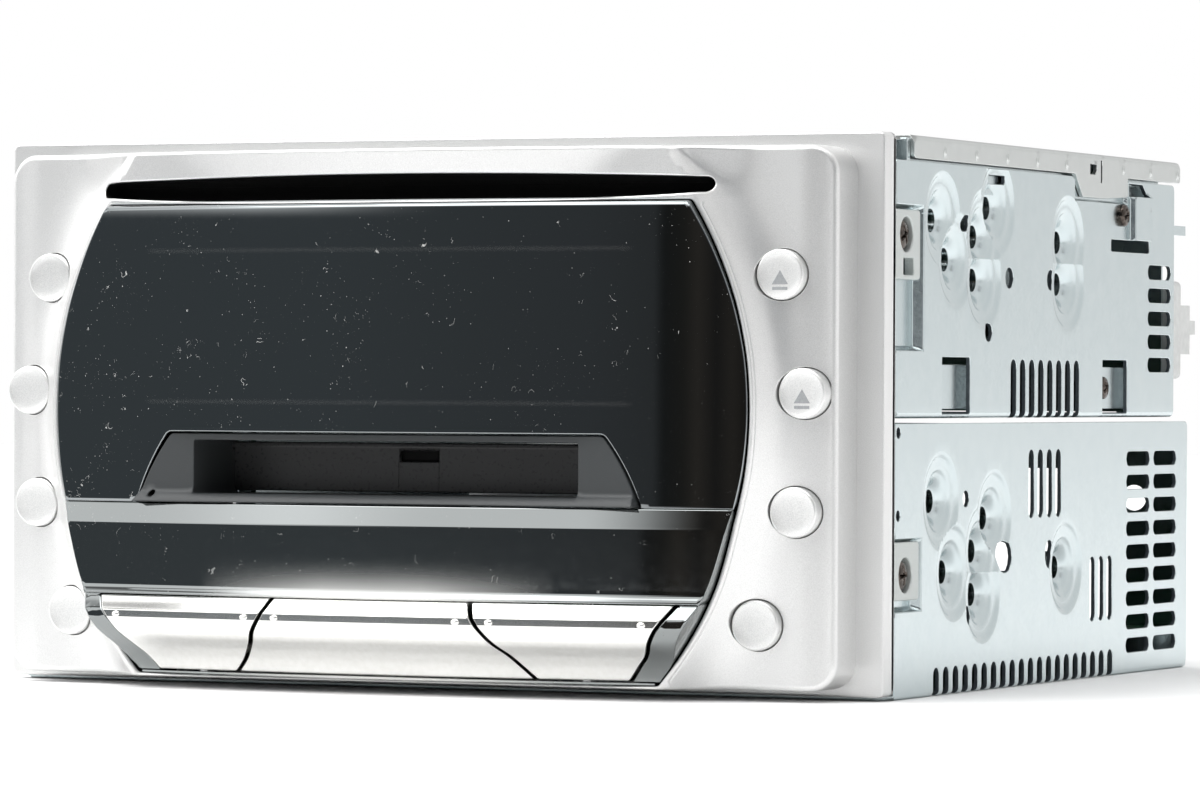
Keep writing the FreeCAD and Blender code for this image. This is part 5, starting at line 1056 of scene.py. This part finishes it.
def tray_mesh(name, tray, front, rear, top, holes, floor_holes, cups, pockets, replaces, raised=()):
    def depth(ab):
        z, y = tray.wall(ab), ab[:, 0]
        d = np.zeros(len(ab))
        for cy, cz in cups:
            r = np.hypot(y - cy, z - cz)
            d = np.maximum(d, CUP(r))
        for y0, y1, z0, z1, dd in pockets:
            q = np.minimum(np.minimum(y1 - y, z - z0), z1 - z)
            if y0 > front + 1:
                q = np.minimum(q, y - y0)
            w = 0.35 if dd < 1.5 else 1.0
            part = abs(dd) * smooth(q / w + 0.1)
            d = np.where(part > 1e-6, part, d) if dd < 0 else np.maximum(d, part)
        for y0, y1, z0, z1, up in raised:
            q = np.minimum(np.minimum(y - y0, y1 - y), np.minimum(z - z0, z1 - z) + 0.6)
            d = d - up * smooth(q / 0.55)
        return d

    def surf(ab):
        return -depth(ab)

    left = tray.flip
    outline = []
    b_top, b_low = top, 2 * tray.mid - top
    outline = fillet([(front, b_low), (rear, b_low), (rear, b_top), (front, b_top)], [0.6, 1.2, 1.2, 0.6], 4)
    outer = resample(outline, 2.0)
    all_holes = list(holes) + [left(q) for q in holes] + list(floor_holes)
    bores = []
    for cy, cz in cups:
        c = arc(cy, cz, 2.15, 0, 360, 25)[:-1]
        bores += [c, left(c)]
    feature, lines_ = [], []
    for cy, cz in cups:
        for r, n in ((9.2, 60), (8.8, 60), (8.4, 60), (8.1, 56), (7.75, 56), (7.4, 52), (6.8, 46), (6.1, 52), (5.85, 52), (5.6, 52), (5.35, 50), (5.1, 48), (4.6, 48), (4.35, 46), (4.1, 44),
                     (3.85, 42), (3.6, 40), (3.35, 38), (3.1, 34), (2.6, 26)):
            feature.append(arc(cy, cz, r, 0, 360, n + 1)[:-1])
    for y0, y1, z0, z1, dd in pockets:
        ya = front + 0.4 if y0 <= front + 1 else y0
        for q in ((-0.15, 0.1, 0.4, 0.7, 1.0) if dd >= 1.5 else (-0.1, 0.05, 0.2, 0.35, 0.5)):
            rect = resample(np.array([(ya + (q if ya == y0 else 0), z0 + q), (y1 - q, z0 + q), (y1 - q, z1 - q), (ya + (q if ya == y0 else 0), z1 - q)]), 0.5)
            lines_.append(rect)
    for y0, y1, z0, z1, up in raised:
        for q in (0.0, 0.2, 0.4, 0.6):
            lines_.append(resample(np.array([(y0 + q, z0), (y1 - q, z0), (y1 - q, z1), (y0 + q, z1)]), 0.5))
    feature = np.concatenate(feature)
    feature = np.concatenate([feature, *lines_])
    lim = (feature[:, 1] < top - 0.3) & (feature[:, 1] > tray.s1 - 0.5)
    feature = feature[lim]
    # where dishes run into each other the rings crowd, so near points are thinned
    order = rng.permutation(len(feature))
    kept = []
    cell = {}
    for i in order:
        p = feature[i]
        key = (int(p[0] / 0.2), int(p[1] / 0.2))
        if key in cell:
            continue
        cell[key] = True
        kept.append(p)
    feature = np.array(kept)
    extra = np.concatenate([feature, left(feature)])
    wallpts = grid_points((front, tray.s1 + 0.2), (rear, top), 2.2)
    bend = np.concatenate([np.column_stack([np.arange(front + 1, rear, 2.0), np.full(len(np.arange(front + 1, rear, 2.0)), tray.s1 - BR * math.pi / 2 * q)])
                           for q in (0, 0.2, 0.4, 0.6, 0.8, 1.0)])
    floorpts = grid_points((front, 2 * tray.mid - tray.s2 + 0.5), (rear, tray.s2 - 0.5), 7.0)
    free = np.concatenate([wallpts, left(wallpts), bend, left(bend), floorpts])
    m = Mesh()
    panel(m, outer, all_holes + bores, surf, tray.place, 0.5, r=0.14, back=lambda q: surf(q) - T, K=2, extra=extra, free=free, thick=T,
          hole_mats=[2] * len(all_holes) + [None] * len(bores))
    # collars behind the tapped holes
    for cy, cz in cups:
        for s in (1, -1):
            lathe(m, (s * (CH - 2.7), cy, cz), (s, 0, 0), [(2.15, 0.2), (2.15, -1.6), (3.0, -1.6), (3.3, -0.2)], 24)
    return m


low_tray = Tray(-0.75)
holes = [slot_pts(72.75 + 4.85 * i, 75.7 + 4.85 * i, 30.7, 43.6) for i in range(4)]
holes += [slot_pts(106.3 + 4.85 * i, 109.25 + 4.85 * i, 10.2, 22.7) for i in range(3)]
holes += [slot_pts(127.0, 140.6, 3.4 + 4.58 * i, 6.2 + 4.58 * i) for i in range(9)]
holes += [slot_pts(142.8, 156.4, 3.4 + 4.58 * i, 6.2 + 4.58 * i) for i in range(9)]
holes += [slot_pts(38.6, 41.8, 33.3, 36.3), slot_pts(56.8, 64.0, 20.8, 26.6), slot_pts(81.8, 86.2, 21.0, 26.4),
          slot_pts(40.8, 44.2, 11.6, 15.1), slot_pts(5.9, 7.9, 31.2, 33.2), slot_pts(5.9, 8.0, 46.0, 48.0)]
holes += [wrap_pts(low_tray, 25.8 + 4.852 * i, 4.4, 84.5) for i in range(20)]
floor_b = lambda x: low_tray.s2 - (CH - BR - x)
floor_holes = [np.column_stack([q[:, 1], floor_b(q[:, 0])]) for q in
               [np.column_stack([p[:, 1], p[:, 0]])[:, ::-1] if False else slot_pts(-46.5 + 7.0 * i, -43.5 + 7.0 * i, 112.0, 134.0) for i in range(14)]]
m = tray_mesh("lower", low_tray, 5.3, 163.0, 48.7, holes, floor_holes, LOW_M5, [(5.3, 18.3, 14.9, 28.1, 2.0)], ["lower_chassis"])
for x in (-78.0, 78.0):
    for y in (32.0, 148.0):
        lathe(m, (x, y, -0.3), (0, 0, 1), [(3.0, 0), (3.0, 6.3), (1.6, 6.3)], 24)
m.build("lower_deck", [galv, steel, sheared], "chassis", ["lower_chassis"], "galvanised")

up_tray = Tray(49.6)
holes = [slot_pts(139.0, 152.6, 58.5 + 4.58 * i, 61.3 + 4.58 * i) for i in range(5)]
holes += [slot_pts(38.0, 42.0, 83.8, 86.8), slot_pts(60.0, 64.2, 73.7, 77.6), slot_pts(82.1, 86.3, 73.7, 77.6), slot_pts(49.6, 53.3, 63.7, 67.1)]
holes += [wrap_pts(up_tray, 64.5 + 4.852 * i, 60.5, 84.5) for i in range(8)]
holes += [resample(fillet([(y0, 50.3), (y0 + 14, 50.3), (y0 + 14, 60.7), (y0, 60.7)], 0.4, 2), 1.2) for y0 in (28.0, 113.0)]
holes += [resample(fillet(q, 0.4, 2), 1.0) for q in ([(117.6, 81.9), (139.6, 81.9), (139.6, 84.2), (117.6, 84.2)],
                                                     [(127.6, 92.8), (138.8, 92.8), (135.6, 95.3), (127.6, 95.3)],
                                                     [(52.4, 93.0), (60.8, 93.0), (60.8, 94.6), (52.4, 94.6)])]
ub = lambda x: up_tray.s2 - (CH - BR - x)
floor_hole = resample(np.array([(60.0, ub(60)), (120.0, ub(60)), (120.0, ub(-60)), (60.0, ub(-60))]), 5.0)
m = tray_mesh("upper", up_tray, 5.3, 154.5, 95.8, holes, [floor_hole], UP_M5, [(5.3, 18.8, 61.7, 87.9, 2.0), (97.2, 126.9, 91.2, 99.0, 0.95)],
              ["upper_chassis"], [(127.9, 138.6, 84.2, 92.8, 1.25)])
for s in (1, -1):
    # rivet and the corner behind the frame
    lathe(m, (s * (CH - 2.05), 7.6, 70.6), (s, 0, 0), [(1.35, 0.0), (1.25, 0.35), (0.9, 0.62), (0.4, 0.75), (0.01, 0.78)], 24, 1, 80)
    lo_, hi_ = sorted((s * 86.2, s * 86.9))
    slab(m, (lo_, 5.2, 95.7), (hi_, 13.6, 99.6), 0.1, 2)
    lo_, hi_ = sorted((s * 86.8, s * 88.2))
    slab(m, (lo_, 12.2, 95.2), (hi_, 13.9, 99.9), 0.15)
    lo_, hi_ = sorted((s * 86.6, s * 87.3))
    slab(m, (lo_, 51.8, 92.6), (hi_, 61.4, 95.2), 0.1, 1)
for s in (1, -1):
    for y0 in (28.0, 113.0):
        y1 = y0 + 14
        lo_, hi_ = sorted((s * 86.4, s * 87.2))
        slab(m, (lo_, y0 - 1, 51.2), (hi_, y1 + 1, 59.4), 0.15)
        lo_, hi_ = sorted((s * 86.4, s * 88.4))
        slab(m, (lo_, y0 - 1, 51.2), (hi_, y0, 59.4), 0.15)
        slab(m, (lo_, y1, 51.2), (hi_, y1 + 1, 59.4), 0.15)
    lo_, hi_ = sorted((s * 86.6, s * 87.6))
    slab(m, (lo_, 14.0, 95.0), (hi_, 150.0, 95.75), 0.1)
    lo_, hi_ = sorted((s * 86.3, s * 87.1))
    slab(m, (lo_, 14.0, 91.0), (hi_, 150.0, 99.7), 0.1)
m.build("upper_deck", [galv, steel, sheared], "chassis", ["upper_chassis"], "galvanised")

# ---------------------------------------------------------------- cover
class Lid(Tray):
    """The same bent sheet, upside down: b runs up the right flange and across the top."""

    def __init__(self, top):
        self.top = top
        Tray.__init__(self, -top)

    def place(self, ab, h):
        p = Tray.place(self, ab, h)
        p[:, 2] *= -1
        return p


lid = Lid(100.5)


def lid_b(z):
    return -np.asarray(z, float)


def cover_loop():
    f = -96.3
    right = [(14.0, f), (97.4, f), (101.6, -92.0), (113.0, -92.0), (127.0, -92.6), (127.0, f), (158.0, f)]
    left = [(y, 2 * lid.mid - b) for y, b in reversed(right)]
    pts = right + left
    rad = [0.8, 0.5, 0.8, 0.3, 0.8, 0.5, 0.8] + [0.8, 0.5, 0.8, 0.3, 0.8, 0.5, 0.8]
    return resample(fillet(pts, rad, 3), 2.0)


win_ = resample(np.array([(105.6, -98.4), (108.6, -98.4), (108.6, -96.5), (105.6, -96.5)]), 1.0)
slit_ = resample(np.array([(111.6, -99.3), (112.4, -99.3), (112.4, -95.0), (111.6, -95.0)]), 1.0)
cover_holes = [win_, slit_, lid.flip(win_), lid.flip(slit_)]
bead = [(x0, x1, y0, y1) for x0, x1, y0, y1 in ((-60, 60, 40, 41.5), (-60, 60, 118.5, 120), (-60, -58.5, 40, 120), (58.5, 60, 40, 120))]


SPOT0, SPOT_STEP = 29.0, 15.9


def cover_surf(ab):
    y = ab[:, 0]
    b = lid.wall(ab)
    u = lid.s2 - b
    x = (CH - BR) - u
    d = np.zeros(len(ab))
    onflange = b > lid.s1 - 0.3
    for i in range(9):
        cy = SPOT0 + SPOT_STEP * i
        r = np.hypot((y - cy) * 1.25, b + 97.9)
        d = np.maximum(d, 0.32 * smooth((1.0 - r) / 0.6) * onflange)
    return d


m = Mesh()
wallpts = grid_points((14.0, lid.s1 + 0.2), (158.0, -91.5), 1.6)
bend = np.concatenate([np.column_stack([np.arange(13.5, 158, 2.0), np.full(len(np.arange(13.5, 158, 2.0)), lid.s1 - BR * math.pi / 2 * q)]) for q in (0, 0.2, 0.4, 0.6, 0.8, 1.0)])
floorpts = grid_points((14.0, 2 * lid.mid - lid.s2 + 0.5), (158.0, lid.s2 - 0.5), 7.0)
spots = np.concatenate([arc(SPOT0 + SPOT_STEP * i, -97.9, r, 0, 360, 13)[:-1] for i in range(9) for r in (0.3, 0.6, 0.85, 1.1)])
panel(m, cover_loop(), cover_holes, cover_surf, lid.place, 1.6, r=0.14, back=lambda q: cover_surf(q) - T, K=2, extra=np.concatenate([spots, lid.flip(spots)]),
      free=np.concatenate([wallpts, lid.flip(wallpts), bend, lid.flip(bend), floorpts]), thick=T)
m.build("case_cover", [galv_warm], "chassis", ["top_cover"], "galvanised")


# ---------------------------------------------------------------- screws
def screw(m, y, z, seat, s, rr, spin):
    place = lambda ab, h: np.column_stack([s * (seat + h), y + ab[:, 0], z + ab[:, 1]])
    ca, sa = math.cos(spin), math.sin(spin)

    def surf(ab):
        r = np.hypot(ab[:, 0], ab[:, 1])
        dome = 0.55 + 0.95 * np.sqrt(np.maximum(1 - (r / (rr * 1.06)) ** 2, 0))
        a, b = np.abs(ab[:, 0] * ca + ab[:, 1] * sa), np.abs(-ab[:, 0] * sa + ab[:, 1] * ca)
        cross = np.minimum(np.maximum(a - 0.34, (b - rr * 0.62) * 0.8), np.maximum(b - 0.34, (a - rr * 0.62) * 0.8))
        return dome - 1.25 * smooth(-cross / 0.22 + 0.3)
    panel(m, arc(0, 0, rr, 0, 360, 57)[:-1], [], surf, place, 0.17, r=0.28, back=0.0, K=3)
    lathe(m, (s * (seat - 5), y, z), (s, 0, 0), [(1.5, 0), (1.5, 5.2)], 20)


m = Mesh()
for y, z, seat, rr, spin in ((10.5, 82.5, 87.3, 2.75, 0.5), (10.5, 21.5, 87.3, 2.75, 0.15), (123.4, 89.0, 88.9, 2.2, 0.35), (116.5, 55.3, 87.2, 2.2, 0.6)):
    for s in (1, -1):
        screw(m, y, z, seat, s, rr, spin)
m.build("case_screw_set", [bronze], "chassis", ["case_screws"], "screw_bronze")

# ---------------------------------------------------------------- floor, light and camera
me = bpy.data.meshes.new("floor")
rows_ = [-0.66, -0.5, -0.3, -0.1, 0.1, 0.5, 1.5, 4.0]
cols_ = [-4.0, -1.5, -0.5, -0.3, 0.0, 0.5, 1.5, 4.0]
verts_ = [(x, y, 0.0) for y in rows_ for x in cols_]
nc_ = len(cols_)
me.from_pydata(verts_, [], [(i * nc_ + j, i * nc_ + j + 1, (i + 1) * nc_ + j + 1, (i + 1) * nc_ + j) for i in range(len(rows_) - 1) for j in range(nc_ - 1)
                            if rows_[i + 1] > -0.05 or cols_[j + 1] > -0.29])
floor = bpy.data.objects.new("floor", me)
paper = material("floor_paper", (0.93, 0.93, 0.93), 0.9)
tint(paper, 40.0, (0.925, 0.925, 0.925), (0.94, 0.94, 0.94))
far_ = nd(paper, "ShaderNodeNewGeometry")
fsep = nd(paper, "ShaderNodeSeparateXYZ")
link(paper, far_.outputs["Position"], fsep.inputs[0])
glow = nd(paper, "ShaderNodeMapRange")
link(paper, fsep.outputs["Y"], glow.inputs["Value"])
glow.inputs["From Min"].default_value, glow.inputs["From Max"].default_value = 0.25, 1.2
glow.inputs["To Min"].default_value, glow.inputs["To Max"].default_value = 0.0, 0.16
link(paper, glow.outputs["Result"], bsdf(paper).inputs["Emission Strength"])
bsdf(paper).inputs["Emission Color"].default_value = (1, 1, 1, 1)
me.materials.append(paper)
scene.collection.objects.link(floor)

world = bpy.data.worlds.new("studio")
world.use_nodes = True
wt = world.node_tree


def wnode(kind, **props):
    n = wt.nodes.new(kind)
    for key, value in props.items():
        setattr(n, key, value)
    return n


def wmath(op, *args, clamp=False):
    n = wnode("ShaderNodeMath", operation=op)
    n.use_clamp = clamp
    for i, v in enumerate(args):
        if isinstance(v, (int, float)):
            n.inputs[i].default_value = v
        else:
            wt.links.new(v, n.inputs[i])
    return n.outputs[0]


def wramp(value, low, high):
    n = wnode("ShaderNodeMapRange", interpolation_type="SMOOTHSTEP")
    wt.links.new(value, n.inputs["Value"])
    n.inputs["From Min"].default_value, n.inputs["From Max"].default_value = low, high
    n.inputs["To Min"].default_value, n.inputs["To Max"].default_value = 0.0, 1.0
    return n.outputs["Result"]


way = wnode("ShaderNodeTexCoord")
xyz = wnode("ShaderNodeSeparateXYZ")
wt.links.new(way.outputs["Generated"], xyz.inputs[0])
dx, dy, dz = xyz.outputs
# the room in front is dark at eye level, the ceiling is bright, and more so on the left
front_ = wramp(wmath("MULTIPLY", dy, -1.0), 0.02, 0.42)
low_ = wmath("SUBTRACT", 1.0, wramp(dz, 0.18, 0.28))
# to the right of the middle the dark part stands higher, and it ends well to the right
isright = wmath("MULTIPLY", wramp(dx, -0.2, -0.04), wmath("SUBTRACT", 1.0, wramp(dz, 0.5, 0.65)))
dark_ = wmath("MULTIPLY", front_, wmath("MAXIMUM", low_, isright))
dark_ = wmath("MULTIPLY", dark_, wmath("SUBTRACT", 1.0, wramp(dx, 0.74, 0.94)))
dark_ = wmath("MULTIPLY", dark_, wmath("SUBTRACT", 1.0, wramp(wmath("MULTIPLY", dx, -1.0), 0.84, 0.92)))
# the left wall is bright from a little over eye level
left_side = wmath("MULTIPLY", wramp(dz, 0.075, 0.12), wramp(wmath("MULTIPLY", dx, -1.0), 0.36, 0.62))
wall_ = wmath("MULTIPLY", left_side, 0.8)
dark_ = wmath("MULTIPLY", dark_, wmath("SUBTRACT", 1.0, left_side))
# a broad white panel over the dark room, not reaching to the far left
panel_ = wmath("MULTIPLY", wmath("MULTIPLY", wramp(dz, 0.18, 0.28), wmath("SUBTRACT", 1.0, wramp(dz, 0.5, 0.75))),
               wmath("MULTIPLY", wramp(dx, -0.72, -0.5), wramp(wmath("MULTIPLY", dy, -1.0), 0.2, 0.5)))
side_ = wmath("MULTIPLY_ADD", panel_, 0.8, 0.86)
side_ = wmath("ADD", side_, wall_)
side_ = wmath("MULTIPLY_ADD", wramp(dz, 0.6, 0.95), 0.2, side_)
high_ = wmath("MULTIPLY", wramp(dz, 0.58, 0.66), wramp(wmath("MULTIPLY", dy, -1.0), -0.02, 0.12))
ends_ = wmath("ADD", wramp(wmath("MULTIPLY", dx, -1.0), 0.52, 0.6), wramp(dz, 0.915, 0.955), clamp=True)
ends_ = wmath("ADD", ends_, wmath("MULTIPLY", wramp(dx, -0.26, -0.16), wmath("SUBTRACT", 1.0, wramp(dz, 0.80, 0.86))), clamp=True)
side_ = wmath("MULTIPLY", side_, wmath("SUBTRACT", 1.0, wmath("MULTIPLY", wmath("MULTIPLY", high_, ends_), 0.82)))
side_ = wmath("MULTIPLY_ADD", wmath("MULTIPLY", high_, wmath("SUBTRACT", 1.0, ends_)), 2.2, side_)
room = wnode("ShaderNodeValToRGB")
stops = [(0.0, (0.112, 0.128, 0.138)), (0.32, (0.105, 0.120, 0.129)), (0.47, (0.092, 0.103, 0.110)), (0.60, (0.082, 0.090, 0.096)), (0.668, (0.070, 0.075, 0.078)),
         (0.678, (0.026, 0.028, 0.028)), (0.70, (0.034, 0.033, 0.030)), (0.715, (0.062, 0.055, 0.048)), (0.735, (0.028, 0.027, 0.026)), (0.752, (0.054, 0.048, 0.042)),
         (0.775, (0.016, 0.015, 0.014)), (0.82, (0.05, 0.055, 0.06)), (1.0, (0.10, 0.11, 0.12))]
while len(room.color_ramp.elements) < len(stops):
    room.color_ramp.elements.new(0.5)
for e, (at_, c_) in zip(room.color_ramp.elements, stops):
    e.position, e.color = at_, (*c_, 1)
wt.links.new(wmath("MULTIPLY_ADD", dx, 1 / 1.13, 0.87 / 1.13), room.inputs["Fac"])
bright = wnode("ShaderNodeCombineColor")
for i in range(3):
    wt.links.new(side_, bright.inputs[i])
mix_ = wnode("ShaderNodeMix", data_type="RGBA")
wt.links.new(dark_, mix_.inputs[0])
wt.links.new(bright.outputs[0], mix_.inputs[6])
wt.links.new(room.outputs["Color"], mix_.inputs[7])
path = wnode("ShaderNodeLightPath")
seen = wnode("ShaderNodeMix", data_type="RGBA")
wt.links.new(path.outputs["Is Camera Ray"], seen.inputs[0])
wt.links.new(mix_.outputs[2], seen.inputs[6])
seen.inputs[7].default_value = (1, 1, 1, 1)
back_ = wt.nodes["Background"]
wt.links.new(seen.outputs[2], back_.inputs["Color"])
back_.inputs["Strength"].default_value = 1.0
scene.world = world


def area_light(name, at, target, size, power, color=(1, 1, 1)):
    l = bpy.data.lights.new(name, "AREA")
    l.shape = "RECTANGLE"
    l.size, l.size_y = size
    l.energy = power
    l.color = color
    o = bpy.data.objects.new(name, l)
    o.location = at
    d = Vector(target) - Vector(at)
    o.rotation_mode = "QUATERNION"
    o.rotation_quaternion = d.to_track_quat("-Z", "Y")
    scene.collection.objects.link(o)
    return o


area_light("key_light", (-0.35, -0.3, 1.15), (-0.05, -0.05, 0.05), (0.6, 0.6), 3.4)
area_light("top_light", (-0.1, -0.5, 0.7), (-0.05, -0.45, 0.0), (1.0, 0.7), 3.0)

cam = bpy.data.cameras.new("camera")
cam.sensor_width = 36.0
cam.lens = 183.92
cam.shift_x, cam.shift_y = 0.1015, 0.0148
camera = bpy.data.objects.new("camera", cam)
yaw, pitch, roll = (math.radians(q) for q in (25.7151, -0.26035, 0.25883))
fwd = Vector((-math.sin(yaw) * math.cos(pitch), math.cos(yaw) * math.cos(pitch), math.sin(pitch)))
right_ = Vector((math.cos(yaw), math.sin(yaw), 0))
down = fwd.cross(right_)
r2 = right_ * math.cos(roll) - down * math.sin(roll)
d2 = right_ * math.sin(roll) + down * math.cos(roll)
rot = Matrix((r2, -d2, -fwd)).transposed()
camera.matrix_world = Matrix.Translation((0.4957, -1.0104 + YS, 0.05436 + ZS)) @ rot.to_4x4()
cam.clip_start, cam.clip_end = 0.05, 20.0
cam.dof.use_dof = False
scene.collection.objects.link(camera)
scene.camera = camera
scene.view_settings.view_transform = "Standard"
